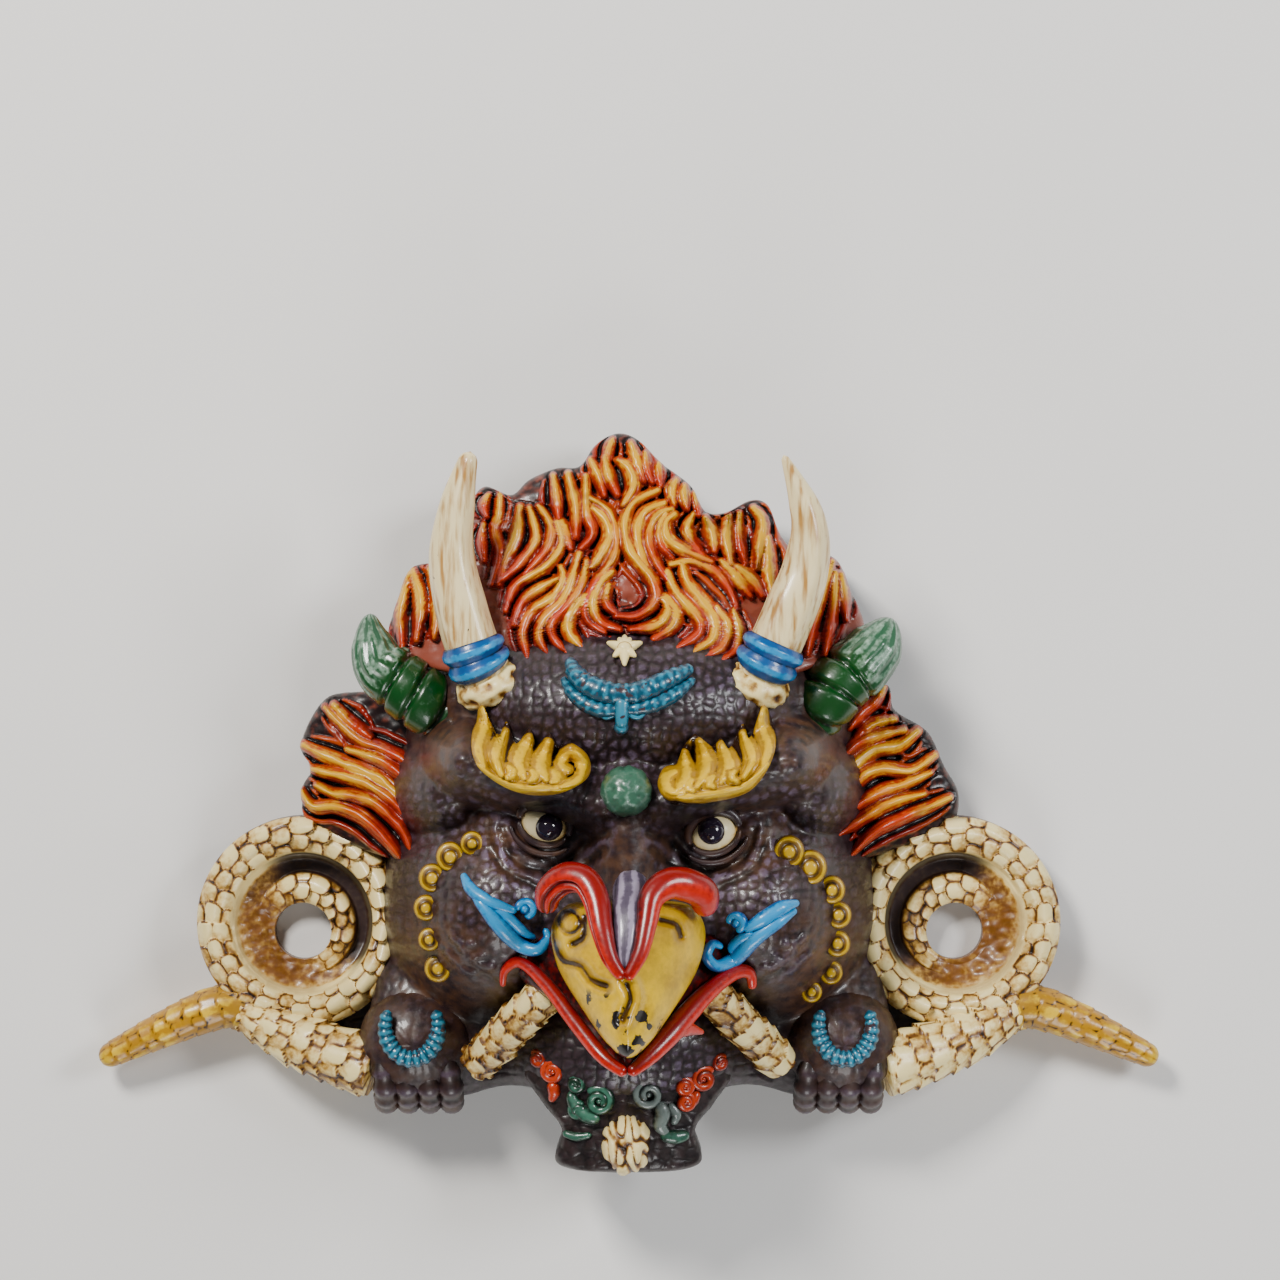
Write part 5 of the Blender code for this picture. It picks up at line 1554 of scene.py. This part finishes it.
# Short strands between them: colour, plan path and radii
BEARD_STEMS = (
    ("red", ((-12.6, -45.8), (-12.2, -47.6), (-12.8, -49.4)), (1.2, 1.1, 0.5)),
    ("red", ((9.6, -50.4), (10.4, -49.4), (11.4, -47.4)), (0.6, 1.0, 0.8)),
    ("green", ((-9.6, -47.4), (-8.8, -49.6), (-6.8, -51.4), (-4.6, -52)), (0.8, 1.2, 1.4, 1.0)),
    ("grey", ((5.0, -49), (5.6, -51), (5.2, -53), (6.6, -54.6)), (1.1, 1.4, 1.2, 0.7)),
    ("grey", ((6.6, -49.4), (7.8, -51.2), (7.2, -53)), (0.6, 1.0, 0.6)),
    ("green", ((5.2, -54.6), (7.6, -55), (10, -54.6)), (0.9, 1.3, 0.9)),
    ("green", ((-10.8, -54.4), (-8.6, -55), (-6, -54.6)), (0.6, 0.8, 0.5)),
)


def build_beard():
    """The beard slab with red and green curls, and the shell jewel at its tip."""
    beard = Piece("beard", "dark_skin", "skin")

    def beard_top(x, y):
        waves = ripple(x, y, 2.8, 8)
        cobbles = pebbles(x, y, 1.9)
        z = beard_height(x, y) + 0.3 * waves + 0.2 * cobbles
        return z, clamp(0.22 + 0.2 * waves + 0.25 * cobbles), 0.1, 0.2

    foot = foot_under(beard_height, BEARD_BACK)
    beard.slab(BEARD_CENTRE, BEARD_OUTLINE, beard_top, foot, count=110, lip=1.6)
    beard.place()
    tufts = {
        "red": Piece("red_beard_curls", "lip_red", "orange"),
        "green": Piece("green_beard_curls", "gloss_green", "green_curl"),
        "grey": Piece("grey_beard_curls", "dark_skin", "dusk"),
    }
    for colour, x, y, size, hand in BEARD_CURLS:
        spiral = []
        for t in np.linspace(0, 1.6, 20):
            turn = 2 * math.pi * t + 0.6
            reach = size * (1 - 0.42 * t)
            px, py = x + hand * reach * math.cos(turn), y + reach * math.sin(turn)
            spiral.append((px, py, beard_height(px, py) + 0.4 + 0.5 * t))
        tufts[colour].tube(spiral, (0.7, 0.75, 0.7, 0.55), sides=12, step=0.25)
        tufts[colour].ball((x, y, beard_height(x, y) + 0.9), (0.55, 0.55, 0.7), rings=8)
    for colour, stem, radii in BEARD_STEMS:
        tufts[colour].tube(laid_on(beard_height, stem, 0.3), radii, sides=14, step=0.25)
    for colour in ("grey", "red", "green"):
        tufts[colour].place()
    shell = Piece("shell_jewel", "ivory_paint", "ivory")

    def furrowed(tilt, turn):
        u, v = plan_of(tilt, turn, 4.1, 4.8)
        winding = ripple(u, 0.5 * v, 1.7, 4)
        folds = bell(winding, 0.2) * clamp(1.1 - 0.5 * np.cos(1.3 * v + u))
        hollow = np.exp(-(((u + 0.5) / 0.8) ** 2) - ((v + 0.2) / 1.3) ** 2)
        swell = 0.5 - 0.75 * folds - 0.7 * hollow + 0.2 * winding
        return swell, clamp(0.85 - 0.8 * folds - 0.7 * hollow)

    shell.ball(SHELL_CENTRE, SHELL_RADII, rings=44, carve=furrowed, tone=0.37)
    shell.place()


def build_floor():
    """A plain pale floor."""
    size = 1.6
    corners = [(-size, -size, 0), (size, -size, 0), (size, size, 0), (-size, size, 0)]
    mesh = bpy.data.meshes.new("floor")
    mesh.from_pydata(corners, [], [(0, 1, 2, 3)])
    shader = Shader("floor_paper", 0.7, 0.0)
    cloud = shader.noise(60, 3)
    mesh.materials.append(shader.finish(shader.mix(cloud, "eae8e4", "f0eeeb")))
    floor = bpy.data.objects.new("floor", mesh)
    bpy.context.scene.collection.objects.link(floor)


def add_light(name, place, size, power, colour=(1, 1, 1)):
    """A soft square lamp aimed at the mask."""
    lamp = bpy.data.lights.new(name, "AREA")
    lamp.shape = "SQUARE"
    lamp.size = size
    lamp.energy = power
    lamp.color = colour
    made = bpy.data.objects.new(name, lamp)
    made.location = place
    made.rotation_euler = (-made.location).to_track_quat("-Z", "Y").to_euler()
    bpy.context.scene.collection.objects.link(made)


def build_studio():
    """Soft lamps, a pale surrounding and the camera over the mask."""
    world = bpy.data.worlds.new("studio")
    world.use_nodes = True
    world.node_tree.nodes["Background"].inputs["Color"].default_value = (0.9, 0.93, 1, 1)
    world.node_tree.nodes["Background"].inputs["Strength"].default_value = 0.1
    bpy.context.scene.world = world
    add_light("key", (-0.32, 0.42, 0.55), 0.18, 6.9, (1, 0.97, 0.93))
    add_light("fill", (0.5, 0.2, 0.45), 0.2, 3.2, (0.95, 0.97, 1))
    add_light("low", (0.05, -0.55, 0.35), 0.26, 2)
    data = bpy.data.cameras.new("camera")
    data.sensor_width = SENSOR
    data.lens = SENSOR * (VIEW_HEIGHT - FACE_LEVEL) / VIEW_WIDTH
    camera = bpy.data.objects.new("camera", data)
    camera.location = (*VIEW_CENTRE, VIEW_HEIGHT)
    bpy.context.scene.collection.objects.link(camera)
    bpy.context.scene.camera = camera


make_paints()
build_face()
build_eyes()
build_eyebrows()
build_forehead_ornaments()
build_beak()
build_nose()
build_moustaches()
build_beads()
build_hair()
build_horns()
build_ears()
build_snakes()
build_hands()
build_beard()
build_floor()
build_studio()
